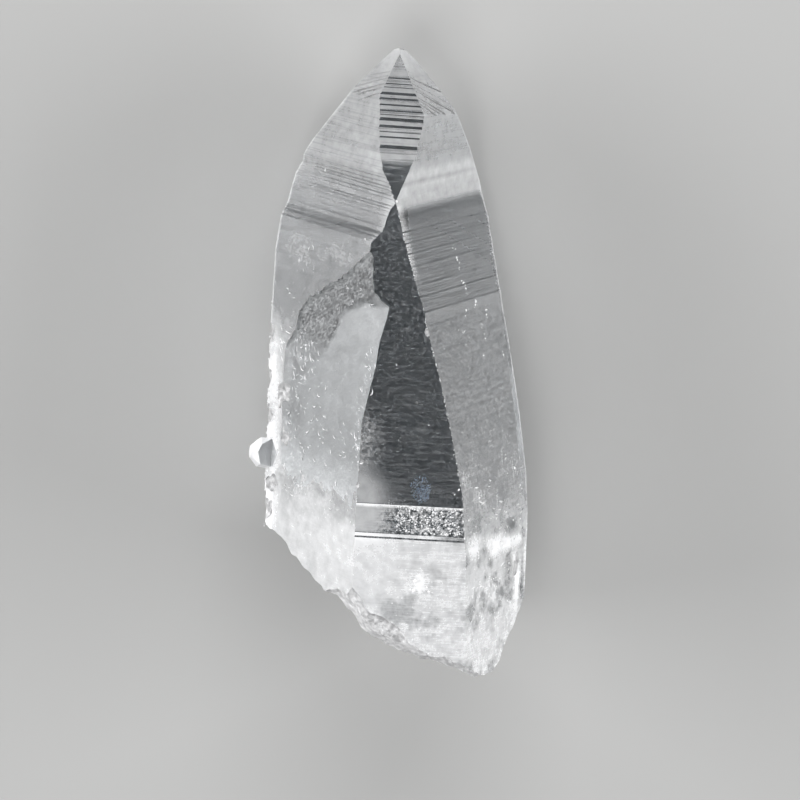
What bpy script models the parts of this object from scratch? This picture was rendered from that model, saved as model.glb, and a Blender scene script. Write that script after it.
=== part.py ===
"""Quartz crystal point lying on its back face, tip toward +Y, best side up."""
import math
import random

import bmesh
import bpy
from mathutils import Matrix, Vector, noise

for thing in list(bpy.data.objects):
    bpy.data.objects.remove(thing, do_unlink=True)

# ---------------------------------------------------------------- dimensions
# Crystal measures are in millimetres. A point of the crystal is given as
# (right, down, front): right across the front face, down the long axis
# from the tip, and out of the front face.
MM = 0.001
NODE_NAME = "quartz_crystal"

STEM_END = 122.0          # growth length before the break at the root
TIP_TOP = -0.4            # very top of the blunt tip
RISER_SLOPE = 0.02        # near-vertical part of a growth step
TREAD_SLOPE = 0.787       # sloping part of a growth step
RING_SNAP = 0.05          # growth steps start on this grid
STEP_JITTER = 0.28        # how uneven neighbouring steps are
STEP_SEED = 41

# Six side faces, 60 degrees apart, number 0 in front and counting to the
# right. Each row: distance below the tip, distance of the face from the
# long axis, and pitch of the growth steps down to the next row (0 = plain).
REST_FACE_SLOPE = 0.045   # taper of the lower part of face 3, which it lies on
FACE_ROWS = [
    [(TIP_TOP, 0.1, 0), (0, 0.3, 0), (4.8, 3.9, 1.9), (26, 17.6, 0), (STEM_END, 20.6, 0)],
    [(TIP_TOP, 0.15, 0), (0, 0.5, 0), (1.9, 1.7, 0), (11, 7.9, 0), (18.5, 8.75, 0),
     (25.5, 8.75, 0), (31, 10.1, 1.5), (47.8, 15.2, 0), (58, 18.3, 0), (69, 21.2, 0),
     (80, 23.8, 0), (92, 25.3, 0), (STEM_END, 28.0, 0)],
    [(TIP_TOP, 0.9, 0), (0, 2.2, 0), (1.9, 4.5, 0), (7, 9.2, 0), (13, 14.1, 0), (25.5, 23.5, 0),
     (28, 24.0, 3.2), (47, 26.9, 0), (69, 29.4, 0), (88, 30.9, 0), (STEM_END, 29.2, 0)],
    [(TIP_TOP, 1.2, 0), (0, 2.3, 0), (1.9, 3.5, 0), (23, 19.8, 2.5), (46, 21.6, 0),
     (STEM_END, 21.6 + REST_FACE_SLOPE * (STEM_END - 46), 0)],
    [(TIP_TOP, 0.8, 0), (0, 1.8, 0), (1.9, 3.4, 0), (18, 16.0, 2.4), (25.6, 20.4, 0),
     (40, 21.8, 0), (60, 21.7, 0), (85, 20.3, 0), (STEM_END, 17.8, 0)],
    [(TIP_TOP, 0.15, 0), (0, 0.5, 0), (1.9, 1.75, 0), (7.8, 6.0, 0), (20.5, 9.3, 0),
     (25.5, 9.25, 2.0), (34, 12.6, 0), (40, 13.0, 0), (STEM_END, 12.3, 0)],
]

# Low facets near the tip, each laid through two points (across, down) of a
# face and leaning inward above that line by some degrees.
TIP_FACETS = [
    (1, (-1.6, 7.2), (3.0, 10.8), 1.2), (1, (-1.2, 5.4), (5.8, 10.8), 2.6),
    (1, (-0.9, 3.6), (7.2, 10.0), 4.4), (5, (2.4, 5.1), (-2.6, 7.7), 1.6),
    (5, (1.8, 3.3), (-5.0, 7.7), 4.0),
]

# Root break: depth of the surface below the tip, read across the crystal.
BREAK_LINE = [(-26, 92), (-20, 96), (-12.5, 99.8), (-5, 103), (0, 108.6), (5, 111.8),
              (8, 113.2), (16, 115.8), (20.5, 116.8), (25.5, 117.4), (27.5, 116.2),
              (29.3, 113.2), (34, 105.4), (40, 96)]
BREAK_FRONT = 12.0        # in front of this the break bevels upward
BREAK_BEVEL = 0.4
BREAK_BACK_SLOPE = 0.14   # gentler rise toward the back
BREAK_SCOOP = 1.2         # depth of the shell-shaped scoops
BREAK_SCOOP_SIZE = 7.5
BREAK_GRAIN = 0.45
BREAK_CELL = 2.1

# Scar on face 5 where a neighbouring crystal grew against it, as
# (across the face, down the axis) with across counted toward the front.
SCAR_TOP = [(-14, 66), (-12.6, 61), (-12, 57.8), (-8.8, 54), (-8, 50.3), (-4.8, 47.2),
            (0, 44.4), (6.4, 40.9), (12, 36.3), (14, 35), (20, 32)]
SCAR_ARCH = [(-14, 120), (-0.6, 86), (-0.3, 63), (0.7, 57), (2.9, 53), (4, 48.5),
             (7.1, 46), (15, 44), (20, 44.5)]
SCAR_LEFT = [(44, 6.0), (49.5, 4.0), (58, 0.7), (64, -0.3), (90, -0.6)]
SCAR_TILT = [(44, 0.27), (52, 0.19), (57, 0.12), (67, 0.03), (84, 0.0)]
SCAR_LIP = [(34, 0.75), (58, 0.8), (68, 0.4), (84, 0.12)]
SCAR_END = 86.0
SCAR_BLEND = 2.4          # width of the slope into the arch
SCAR_COLUMNS = 24
SCAR_ROWS = 24

# Small chips: (face, across, down, size across, size down, depth)
CHIPS = [
    (5, -17.6, 56.5, 2.2, 3.6, 0.7), (5, -14.8, 61.0, 3.4, 3.2, 0.9),
    (5, -17.7, 65.5, 2.2, 3.2, 0.9), (5, -11.6, 67.5, 3.2, 4.2, 1.5),
    (5, -16.8, 72.5, 2.6, 3.4, 0.8), (5, -9.8, 75.5, 3.0, 4.0, 1.4),
    (5, -13.4, 85.5, 3.8, 3.6, 0.9), (5, -4.5, 82.0, 3.4, 3.0, 1.3),
    (5, -15.2, 91.5, 2.8, 4.4, 0.9), (5, 2.0, 93.5, 3.6, 2.8, 0.6),
    (0, -3.2, 93.5, 1.2, 3.0, 0.6), (0, 7.6, 49.5, 0.7, 1.2, 0.4),
    (1, 15.5, 97.0, 2.0, 4.2, 0.6), (2, 14.8, 72.0, 1.6, 3.2, 0.6),
    (3, 13.8, 66.0, 1.6, 3.0, 0.6), (4, -10.6, 90.0, 2.2, 4.0, 0.7),
]
CHIP_SEED = 7

# Side crystal grown out of the left rear edge.
NUB_SPOT = (-17.4, 79.8, -6.8)
NUB_AIM = (-1.0, -0.1, 0.22)
NUB_RADIUS = 2.9
NUB_REACH = 5.3
NUB_TIP = 1.9


# ---------------------------------------------------------------- helpers
def line_value(points, at):
    """Read a broken line at one place."""
    if at <= points[0][0]:
        return points[0][1]
    for left, right in zip(points, points[1:]):
        if at <= right[0]:
            share = (at - left[0]) / (right[0] - left[0])
            return left[1] + share * (right[1] - left[1])
    return points[-1][1]


def crystal_point(right, down, front):
    """Crystal measures to model space, still standing on its own axis."""
    return Vector((right, -down, front)) * MM


def face_axes(face):
    """Outward direction of a side face and the direction across it."""
    turn = math.radians(60 * face)
    outward = Vector((math.sin(turn), 0, math.cos(turn)))
    across = Vector((math.cos(turn), 0, -math.sin(turn)))
    return outward, across


def snap(value):
    return round(value / RING_SNAP) * RING_SNAP


def stepped_line(rows, chance):
    """Turn the rows of one face into a broken line with growth steps."""
    points = [(rows[0][0], rows[0][1])]
    for (top, near, pitch), (low, far, _) in zip(rows, rows[1:]):
        mean = (far - near) / (low - top)
        if pitch:
            count = max(1, round((low - top) / pitch))
            weights = [1 + chance.uniform(-STEP_JITTER, STEP_JITTER) for _ in range(count)]
            scale = (low - top) / sum(weights)
            start = top
            for weight in weights[:-1]:
                end = snap(start + weight * scale)
                points += one_step(start, end, near + mean * (start - top), mean)
                start = end
            points += one_step(start, low, near + mean * (start - top), mean)
        else:
            points.append((low, far))
    return points


def one_step(start, end, distance, mean):
    """A steep riser and then a sloping tread that comes back to the mean line."""
    span = end - start
    riser = span * (TREAD_SLOPE - mean) / (TREAD_SLOPE - RISER_SLOPE)
    bend = min(max(snap(start + riser), start + RING_SNAP), end - RING_SNAP)
    return [(bend, distance + RISER_SLOPE * (bend - start)), (end, distance + mean * span)]


def ring_points(distances, down):
    """Corners of the six-sided cross-section at one depth."""
    corners = []
    for face in range(6):
        one, _ = face_axes(face)
        two, _ = face_axes((face + 1) % 6)
        d_one, d_two = distances[face], distances[(face + 1) % 6]
        det = one.x * two.z - one.z * two.x
        right = (d_one * two.z - one.z * d_two) / det
        front = (one.x * d_two - d_one * two.x) / det
        corners.append(crystal_point(right, down, front))
    return corners


def new_object(name, mesh):
    thing = bpy.data.objects.new(name, mesh)
    bpy.context.scene.collection.objects.link(thing)
    return thing


def mesh_from_bmesh(name, bm):
    bmesh.ops.recalc_face_normals(bm, faces=bm.faces)
    mesh = bpy.data.meshes.new(name)
    bm.to_mesh(mesh)
    bm.free()
    return mesh


# ---------------------------------------------------------------- crystal body
def grown_body():
    """Six faces with their growth steps, closed at both ends."""
    chance = random.Random(STEP_SEED)
    lines = [stepped_line(rows, chance) for rows in FACE_ROWS]
    levels = sorted({round(point[0], 3) for line in lines for point in line})
    bm = bmesh.new()
    rings = []
    for down in levels:
        distances = [line_value(line, down) for line in lines]
        rings.append([bm.verts.new(co) for co in ring_points(distances, down)])
    for upper, lower in zip(rings, rings[1:]):
        for i in range(6):
            j = (i + 1) % 6
            bm.faces.new((upper[i], upper[j], lower[j], lower[i]))
    bm.faces.new(rings[0])
    bm.faces.new(list(reversed(rings[-1])))
    bmesh.ops.recalc_face_normals(bm, faces=bm.faces)
    bmesh.ops.dissolve_limit(bm, angle_limit=math.radians(0.3), verts=bm.verts, edges=bm.edges)
    for facet in TIP_FACETS:
        lay_facet(bm, *facet)
    return new_object(NODE_NAME, mesh_from_bmesh(NODE_NAME, bm))


def face_spot(face, across, down):
    """Point of a plain face, its growth steps left out."""
    outward, across_axis = face_axes(face)
    rows = [(row[0], row[1]) for row in FACE_ROWS[face]]
    place = outward * line_value(rows, down) + across_axis * across
    return crystal_point(place.x, down, place.z)


def lay_facet(bm, face, start, end, lean):
    """Plane a thin slice off above the line between two points of a face."""
    one, two = face_spot(face, *start), face_spot(face, *end)
    three = face_spot(face, start[0], start[1] + 1.0)
    across = (two - one).normalized()
    normal = (three - one).cross(across).normalized()
    if normal.dot(face_axes(face)[0]) < 0:
        normal = -normal
    turned = Matrix.Rotation(math.radians(lean), 3, across) @ normal
    if turned.y < normal.y:
        turned = Matrix.Rotation(math.radians(-lean), 3, across) @ normal
    geometry = bm.verts[:] + bm.edges[:] + bm.faces[:]
    bmesh.ops.bisect_plane(bm, geom=geometry, plane_co=one, plane_no=turned, clear_outer=True)
    bmesh.ops.holes_fill(bm, edges=[edge for edge in bm.edges if edge.is_boundary], sides=0)


# ---------------------------------------------------------------- cutters
def height_block(name, floor, lid):
    """Closed block between a grid of floor points and a grid of lid points."""
    bm = bmesh.new()
    low = [[bm.verts.new(co) for co in row] for row in floor]
    high = [[bm.verts.new(co) for co in row] for row in lid]
    rows, columns = len(low), len(low[0])
    for i in range(rows - 1):
        for j in range(columns - 1):
            bm.faces.new((low[i][j], low[i + 1][j], low[i + 1][j + 1], low[i][j + 1]))
            bm.faces.new((high[i][j], high[i][j + 1], high[i + 1][j + 1], high[i + 1][j]))
    for i in range(rows - 1):
        bm.faces.new((low[i][0], high[i][0], high[i + 1][0], low[i + 1][0]))
        bm.faces.new((low[i][-1], low[i + 1][-1], high[i + 1][-1], high[i][-1]))
    for j in range(columns - 1):
        bm.faces.new((low[0][j], low[0][j + 1], high[0][j + 1], high[0][j]))
        bm.faces.new((low[-1][j], high[-1][j], high[-1][j + 1], low[-1][j + 1]))
    return new_object(name, mesh_from_bmesh(name, bm))


def scoops(x, y, size):
    """Shell-shaped hollows: 0 on their rims, 1 in their middles."""
    spread = noise.voronoi(Vector((x / size, y / size, 0.37)), distance_metric="DISTANCE")[0]
    return max(0.0, 1 - spread[0] * spread[0] * 1.6)


def break_depth(right, front):
    """Depth of the root break below the tip."""
    down = line_value(BREAK_LINE, right)
    down -= BREAK_BEVEL * max(0.0, front - BREAK_FRONT)
    down -= BREAK_BACK_SLOPE * max(0.0, BREAK_FRONT - front)
    down -= BREAK_SCOOP * scoops(right, front, BREAK_SCOOP_SIZE)
    down += BREAK_GRAIN * noise.noise(Vector((right, front, 5.0)) * 0.55)
    return down


def root_cutter():
    columns = [-26 + i * BREAK_CELL for i in range(31)]
    rows = [-31 + i * BREAK_CELL for i in range(27)]
    floor = [[crystal_point(r, break_depth(r, f), f) for r in columns] for f in rows]
    lid = [[crystal_point(r, STEM_END + 6, f) for r in columns] for f in rows]
    return height_block("root_cutter", floor, lid)


def scar_depth(across, down):
    """How far the scar floor lies under the plain face."""
    top = line_value(SCAR_TOP, across)
    lip = line_value(SCAR_LIP, down)
    depth = lip * (1 + 0.07 * min(down - top, 8.0))
    lump = noise.noise(Vector((across * 0.5, down * 0.5, 2.0)))
    inside = min(1.0, max(0.0, (down - line_value(SCAR_ARCH, across)) / SCAR_BLEND))
    reach = max(0.0, across - line_value(SCAR_LEFT, down))
    hollow = 0.3 * lip + line_value(SCAR_TILT, down) * reach
    return depth + inside * hollow + (0.4 * lip * (1 - inside) + 0.06) * lump


def scar_cutter():
    outward, across_axis = face_axes(5)
    rows = FACE_ROWS[5]
    plain = [(row[0], row[1]) for row in rows]

    def spot(across, down, depth):
        distance = line_value(plain, down) - depth
        place = outward * distance + across_axis * across
        return crystal_point(place.x, down, place.z)

    floor, lid = [], []
    for i in range(SCAR_COLUMNS + 1):
        across = -14 + 34 * i / SCAR_COLUMNS
        top = line_value(SCAR_TOP, across)
        downs = [top + (SCAR_END - top) * (j / SCAR_ROWS) ** 1.15 for j in range(SCAR_ROWS + 1)]
        depths = [scar_depth(across, down) for down in downs]
        edge = min(1.0, (across + 14) / 2.5)
        depths = [depth * edge - 0.4 * (1 - edge) for depth in depths]
        line = [spot(across, top - 0.15, -0.6)]
        line += [spot(across, down, depth) for down, depth in zip(downs, depths)]
        line.append(spot(across, SCAR_END + 2, -0.6))
        floor.append(line)
        lid_line = [spot(across, top - 0.15, -4)] + [spot(across, down, -4) for down in downs]
        lid_line.append(spot(across, SCAR_END + 2, -4))
        lid.append(lid_line)
    return height_block("scar_cutter", floor, lid)


def chip_cutter(index, face, across, down, wide, tall, depth, chance):
    """Uneven pebble shape that bites a shallow scoop out of the surface."""
    outward, across_axis = face_axes(face)
    plain = [(row[0], row[1]) for row in FACE_ROWS[face]]
    thick = wide * 0.9
    centre = outward * (line_value(plain, down) + thick - depth) + across_axis * across
    middle = Vector((centre.x, -down, centre.z)) * MM
    turn = Matrix.Rotation(chance.uniform(-0.5, 0.5), 3, outward)
    bm = bmesh.new()
    bmesh.ops.create_icosphere(bm, subdivisions=1, radius=1.0)
    for vert in bm.verts:
        unit = vert.co * (1 + chance.uniform(-0.08, 0.08))
        shaped = across_axis * unit.x * wide + Vector((0, 1, 0)) * unit.y * tall
        shaped += outward * unit.z * thick
        vert.co = middle + (turn @ shaped) * MM
    return new_object(f"chip_cutter_{index:02d}", mesh_from_bmesh("chip_cutter", bm))


# ---------------------------------------------------------------- side crystal
def side_crystal():
    """Small six-sided point fused into the left rear edge."""
    root = crystal_point(*NUB_SPOT)
    aim = Vector((NUB_AIM[0], -NUB_AIM[1], NUB_AIM[2])).normalized()
    side = aim.cross(Vector((0, 0, 1))).normalized()
    up = side.cross(aim)
    bm = bmesh.new()

    def ring(reach, radius, lean):
        loop = []
        for i in range(6):
            turn = math.radians(60 * i + 17)
            wide = radius * (1.12 if i % 3 == 0 else 0.93)
            co = side * math.cos(turn) * wide + up * math.sin(turn) * wide * 0.92
            loop.append(bm.verts.new(root + (aim * (reach + lean * math.cos(turn)) + co) * MM))
        return loop

    rings = [ring(-3.5, NUB_RADIUS * 1.08, 0), ring(NUB_REACH - NUB_TIP, NUB_RADIUS, 0.3),
             ring(NUB_REACH - 0.25, NUB_RADIUS * 0.42, 0.1)]
    for lower, upper in zip(rings, rings[1:]):
        for i in range(6):
            j = (i + 1) % 6
            bm.faces.new((lower[i], lower[j], upper[j], upper[i]))
    peak = bm.verts.new(root + (aim * NUB_REACH + side * 0.3) * MM)
    for i in range(6):
        bm.faces.new((rings[2][i], rings[2][(i + 1) % 6], peak))
    bm.faces.new(list(reversed(rings[0])))
    return new_object("side_crystal_shape", mesh_from_bmesh("side_crystal_shape", bm))


# ---------------------------------------------------------------- assembly
def carve(body, tool, operation):
    step = body.modifiers.new(tool.name, "BOOLEAN")
    step.operation = operation
    step.solver = "EXACT"
    step.object = tool
    tool.hide_render = True
    tool.display_type = "WIRE"
    return step


def glass_material():
    material = bpy.data.materials.new("clear_quartz")
    material.use_nodes = True
    shader = material.node_tree.nodes["Principled BSDF"]
    shader.inputs["Base Color"].default_value = (0.93, 0.95, 0.96, 1)
    shader.inputs["Roughness"].default_value = 0.08
    shader.inputs["IOR"].default_value = 1.544
    shader.inputs["Transmission Weight"].default_value = 1.0
    return material


def lay_down(things, body):
    """Turn onto the back face, then centre over the origin with the base at zero."""
    lean = Matrix.Rotation(-math.atan(REST_FACE_SLOPE), 4, "X")
    for thing in things:
        thing.data.transform(lean)
    bpy.context.view_layer.update()
    shape = body.evaluated_get(bpy.context.evaluated_depsgraph_get()).data
    spots = [vert.co for vert in shape.vertices]
    low = [min(co[i] for co in spots) for i in range(3)]
    high = [max(co[i] for co in spots) for i in range(3)]
    move = Matrix.Translation((-(low[0] + high[0]) / 2, -(low[1] + high[1]) / 2, -low[2]))
    for thing in things:
        thing.data.transform(move)


crystal = grown_body()
crystal.data.materials.append(glass_material())
tools = [root_cutter(), scar_cutter()]
chip_chance = random.Random(CHIP_SEED)
for number, chip in enumerate(CHIPS, 1):
    tools.append(chip_cutter(number, *chip, chip_chance))
nub = side_crystal()
carve(crystal, nub, "UNION")
for tool in tools:
    carve(crystal, tool, "DIFFERENCE")
lay_down([crystal, nub] + tools, crystal)
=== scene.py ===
import math
import random

import bmesh
import bpy
from mathutils import Matrix, Vector, noise
from mathutils.bvhtree import BVHTree


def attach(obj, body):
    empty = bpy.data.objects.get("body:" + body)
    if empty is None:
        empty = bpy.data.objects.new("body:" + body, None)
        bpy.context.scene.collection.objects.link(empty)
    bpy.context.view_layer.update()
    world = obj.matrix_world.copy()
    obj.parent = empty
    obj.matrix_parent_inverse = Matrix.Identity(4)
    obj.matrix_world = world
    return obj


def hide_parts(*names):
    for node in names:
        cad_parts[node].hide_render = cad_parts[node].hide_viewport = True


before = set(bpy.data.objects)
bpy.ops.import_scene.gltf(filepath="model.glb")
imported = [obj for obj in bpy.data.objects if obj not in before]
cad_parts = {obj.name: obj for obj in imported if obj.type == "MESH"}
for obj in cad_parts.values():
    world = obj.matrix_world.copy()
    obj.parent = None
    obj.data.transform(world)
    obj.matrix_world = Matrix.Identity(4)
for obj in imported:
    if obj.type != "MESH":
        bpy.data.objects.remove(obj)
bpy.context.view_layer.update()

# The crystal is worked out in millimetres on its own axis, as (right, up, front)
# with its tip at the origin. layDown turns it onto the back face that it rests on.
placement = {"restSlope": 0.045, "tip": (-5.050, 57.786, 19.510)}
layDown = (
    Matrix.Scale(0.001, 4)
    @ Matrix.Translation(placement["tip"])
    @ Matrix.Rotation(-math.atan(placement["restSlope"]), 4, "X")
)


# helpers
def lineValue(points, at):
    # read a broken line at one place
    if at <= points[0][0]:
        return points[0][1]
    for left, right in zip(points, points[1:]):
        if at <= right[0]:
            share = (at - left[0]) / (right[0] - left[0])
            return left[1] + share * (right[1] - left[1])
    return points[-1][1]


def smooth(low, high, value):
    share = min(1.0, max(0.0, (value - low) / (high - low)))
    return share * share * (3 - 2 * share)


def outwardOf(face):
    turn = math.radians(60 * face)
    return Vector((math.sin(turn), 0, math.cos(turn)))


def acrossOf(face):
    turn = math.radians(60 * face)
    return Vector((math.cos(turn), 0, -math.sin(turn)))


def newObject(name, mesh):
    thing = bpy.data.objects.new(name, mesh)
    bpy.context.scene.collection.objects.link(thing)
    return thing


def meshOf(bm, name):
    bmesh.ops.recalc_face_normals(bm, faces=bm.faces)
    mesh = bpy.data.meshes.new(name)
    bm.to_mesh(mesh)
    bm.free()
    return mesh


def plainMesh(thing, name):
    # the evaluated shape as a mesh of its own, with nothing live left on the object
    graph = bpy.context.evaluated_depsgraph_get()
    mesh = bpy.data.meshes.new_from_object(thing.evaluated_get(graph), depsgraph=graph)
    mesh.name = name
    thing.modifiers.clear()
    thing.data = mesh
    return thing


def addNode(tree, kind, inputs=None, **settings):
    node = tree.nodes.new(kind)
    for name, value in settings.items():
        setattr(node, name, value)
    for name, value in (inputs or {}).items():
        if isinstance(value, bpy.types.NodeSocket):
            tree.links.new(value, node.inputs[name])
        else:
            node.inputs[name].default_value = value
    return node


def math2(tree, operation, one, two, clamp=False):
    node = tree.nodes.new("ShaderNodeMath")
    node.operation = operation
    node.use_clamp = clamp
    for socket, value in zip(node.inputs, (one, two)):
        if isinstance(value, bpy.types.NodeSocket):
            tree.links.new(value, socket)
        else:
            socket.default_value = value
    return node.outputs[0]


def mapRange(tree, value, fromLow, fromHigh, toLow, toHigh):
    return addNode(tree, "ShaderNodeMapRange", {
        "Value": value, "From Min": fromLow, "From Max": fromHigh, "To Min": toLow,
        "To Max": toHigh}).outputs[0]


# camera, floor and lights
view = {
    "target": (3.85, -63.69, 13.39),     # millimetres, on the crystal
    "away": (-0.0939, 0.1994, 0.9754),   # from the crystal toward the camera
    "right": (0.9954, 0.0, 0.0958),
    "up": (0.0191, 0.9799, -0.1985),
    "roll": -4.5,
    "distance": 700.0,
    "lens": 168.63,
}


def placeCamera(view):
    right, up, away = (Vector(view[k]) for k in ("right", "up", "away"))
    turn = math.radians(view["roll"])
    imageRight = right * math.cos(turn) - up * math.sin(turn)
    imageUp = right * math.sin(turn) + up * math.cos(turn)
    place = Vector(view["target"]) + away * view["distance"]
    spin = layDown.to_3x3().normalized()
    axes = Matrix((spin @ imageRight, spin @ imageUp, spin @ away)).transposed().to_4x4()
    data = bpy.data.cameras.new("camera")
    data.lens = view["lens"]
    data.sensor_width = 36
    data.clip_start = 0.01
    camera = bpy.data.objects.new("camera", data)
    camera.matrix_world = Matrix.Translation(layDown @ place) @ axes
    bpy.context.scene.collection.objects.link(camera)
    bpy.context.scene.camera = camera


studio = {
    "floorSize": 6.0,
    "floorTone": (0.46, 0.46, 0.455, 1),
    "floorRough": 0.7,
    "worldTone": (0.95, 0.975, 1.0, 1),
    "worldStrength": 0.08,
    "aim": (0, 0, 0.02),
    # name: (place, width, height, watts)
    "boxes": {
        "leftBox": ((-1.24, 0.12, 0.50), 1.00, 0.60, 15.6),
        "rightBox": ((1.24, 0.04, 0.50), 1.00, 0.60, 15.6),
        "backBox": ((0.0, 1.40, 0.98), 1.40, 0.60, 15.2),
        "topBox": ((-0.50, -0.50, 1.58), 0.80, 0.80, 9.6),
    },
}


def makeStudio(studio):
    half = studio["floorSize"] / 2
    bm = bmesh.new()
    corners = [(-half, -half), (half, -half), (half, half), (-half, half)]
    bm.faces.new([bm.verts.new((x, y, 0)) for x, y in corners])
    floor = newObject("floor", meshOf(bm, "floor"))
    material = bpy.data.materials.new("paleFloor")
    material.use_nodes = True
    shader = material.node_tree.nodes["Principled BSDF"]
    shader.inputs["Base Color"].default_value = studio["floorTone"]
    shader.inputs["Roughness"].default_value = studio["floorRough"]
    floor.data.materials.append(material)
    for name, (place, width, height, power) in studio["boxes"].items():
        data = bpy.data.lights.new(name, "AREA")
        data.shape = "RECTANGLE"
        data.size, data.size_y, data.energy = width, height, power
        lamp = bpy.data.objects.new(name, data)
        away = (Vector(place) - Vector(studio["aim"])).normalized()
        turn = away.to_track_quat("Z", "Y").to_matrix().to_4x4()
        lamp.matrix_world = Matrix.Translation(place) @ turn
        bpy.context.scene.collection.objects.link(lamp)
    world = bpy.data.worlds.new("studio")
    world.use_nodes = True
    sky = world.node_tree.nodes["Background"]
    sky.inputs["Color"].default_value = studio["worldTone"]
    sky.inputs["Strength"].default_value = studio["worldStrength"]
    bpy.context.scene.world = world


placeCamera(view)
makeStudio(studio)
bpy.context.scene.view_settings.view_transform = "Standard"
print("camera and studio placed")


# Crystal body: face 0 looks to the front and the rest count on to the right, 60 degrees apart.
# A row is (depth below the tip, distance of the face from the axis, steps down to
# the next row). Steps are a pitch, or a list of bands with their slope.
riser, tread = 0.02, 0.787
body = {
    "stemEnd": 122.0,
    "snap": 0.05,
    "crease": 18,
    "seed": 41,
    "jitter": 0.45,
    "columns": (0.0, 0.02, 0.07, 0.16, 0.30, 0.44, 0.58, 0.72, 0.86, 0.94, 0.98),
    # fine growth lines: from this depth, row by row, each row moved and sunk a little
    "striaeTop": 3,
    "striaeRows": 0.62,
    "striaeShift": 0.32,
    "striaeFade": (3, 12),
    "striaeDepth": (0.006, 0.004, 0.003, 0.003, 0.003, 0.004),
    "rows": [
        [(-0.385, 0.3, 0), (0, 0.55, 0),
         (4.4, 3.65, (riser, [
             (4.60, 4.85), (5.60, 5.80), (6.25, 6.40), (7.15, 7.65), (8.15, 8.50), (9.25, 9.55),
             (10.25, 10.55), (11.05, 11.20), (11.60, 12.20), (12.90, 13.40), (14.05, 14.20),
             (14.85, 15.15), (16.35, 17.00)])),
         (18.8, 12.3, (riser, [(20.30, 20.50), (22.00, 22.10), (24.05, 24.15)])),
         (26, 17.95, 0), (27.5, 17.7, (riser, [(82.30, 82.45), (87.85, 88.00), (88.60, 88.95)])),
         (122, 20.6, 0)],
        [(-0.385, 0.5, 0), (0, 0.9, 0), (1.9, 1.8, 0), (11, 7.9, 0), (18.5, 8.75, 0),
         (25.5, 8.65, 0),
         (31, 10.1, (tread, [
             (31.30, 31.55), (32.05, 32.20), (32.75, 32.90), (33.35, 33.60), (34.10, 34.25),
             (34.65, 34.85), (35.25, 35.50), (35.90, 36.05), (36.40, 36.60), (37.00, 37.15),
             (37.55, 37.85), (38.40, 38.55), (39.00, 39.20), (39.70, 39.85), (40.25, 40.45),
             (40.95, 41.25), (41.70, 41.85), (42.10, 42.30), (42.60, 42.75), (43.05, 43.30),
             (43.60, 43.75), (44.00, 44.20), (44.50, 44.65), (44.90, 45.10), (45.35, 45.50),
             (45.80, 46.05)])),
         (47.8, 15.2, 0), (58, 18.3, 0), (69, 21.2, 0), (80, 23.8, 0), (92, 25.3, 0),
         (122, 28.0, 0)],
        [(-0.385, 0.9, 0), (0, 2.2, 0), (1.9, 4.5, 0), (7, 9.2, 0), (13, 14.1, 0),
         (25.5, 23.5, 0), (28, 24.0, 4.5), (47, 26.9, 0), (69, 29.4, 0), (88, 30.9, 0),
         (122, 29.2, 0)],
        [(-0.385, 1.2, 0), (0, 2.3, 0), (1.9, 3.4, 0), (23, 19.60, 3.8), (46, 21.52, 0),
         (122, 25.02, 0)],
        [(-0.385, 0.8, 0), (0, 1.8, 0), (1.9, 3.4, 0), (18, 16.0, 3.6), (25.6, 20.4, 0),
         (40, 21.8, 0), (60, 21.7, 0), (85, 20.3, 0), (122, 17.8, 0)],
        [(-0.385, 0.5, 0), (0, 0.9, 0), (1.9, 1.85, 0), (7.8, 6.0, 0), (20.5, 9.2, 0),
         (21.4, 9.2, (tread, [
             (21.90, 22.00), (22.70, 22.85), (23.40, 23.65), (23.95, 24.15), (24.80, 25.05)])),
         (25.4, 9.1, (tread, [
             (25.50, 25.65), (26.60, 26.85), (27.10, 27.30), (27.70, 27.80), (28.60, 28.70),
             (30.60, 30.75), (31.40, 33.50)])),
         (34, 12.6, 0), (40, 13.0, 0), (122, 12.3, 0)],
    ],
    # low facets by the tip: (face, start, end, lean in degrees), with the two
    # places given as (across the face, depth)
    "tipFacets": [
        (1, (-3.2, 8.9), (1.0, 11.0), 0.7), (1, (-2.8, 7.8), (4.6, 11.0), 1.5),
        (1, (-2.1, 6.8), (8.0, 11.0), 2.4), (1, (-2.4, 5.4), (9.0, 9.8), 3.3),
        (1, (-1.5, 3.4), (7.6, 5.9), 5.0),
        (5, (2.5, 6.8), (0.1, 7.6), 0.8), (5, (2.4, 5.7), (-3.2, 7.6), 1.6),
        (5, (2.0, 4.8), (-4.5, 7.0), 2.6), (5, (1.5, 3.6), (-3.4, 5.0), 4.2),
    ],
}


def snapped(value):
    return round(value / body["snap"]) * body["snap"]


def bandedLine(top, near, low, far, slope, bands):
    # inside the bands the face keeps one slope, and the rest shares what is left
    banded = sum(end - start for start, end in bands)
    rest = (far - near - slope * banded) / (low - top - banded)
    points, place, distance = [], top, near
    for start, end in bands:
        distance += rest * (start - place)
        points.append((start, distance))
        distance += slope * (end - start)
        points.append((end, distance))
        place = end
    return points + [(low, far)]


def steppedLine(rows, chance):
    points = [(rows[0][0], rows[0][1])]
    for (top, near, steps), (low, far, _) in zip(rows, rows[1:]):
        if isinstance(steps, tuple):
            points += bandedLine(top, near, low, far, *steps)
        elif steps:
            mean = (far - near) / (low - top)
            count = max(1, round((low - top) / steps))
            weights = [1 + chance.uniform(-body["jitter"], body["jitter"]) for _ in range(count)]
            share = (tread - mean) / (tread - riser)
            start, bands = top, []
            for weight in weights:
                span = weight * (low - top) / sum(weights)
                bend = min(snapped(start + span * share), snapped(start + span) - body["snap"])
                bands.append((snapped(start) + 0.0, bend))
                start += span
            bands = [(a, b) for a, b in bands if b - a >= body["snap"] and a > top]
            points += bandedLine(top, near, low, far, riser, bands)
        else:
            points.append((low, far))
    return points


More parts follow.
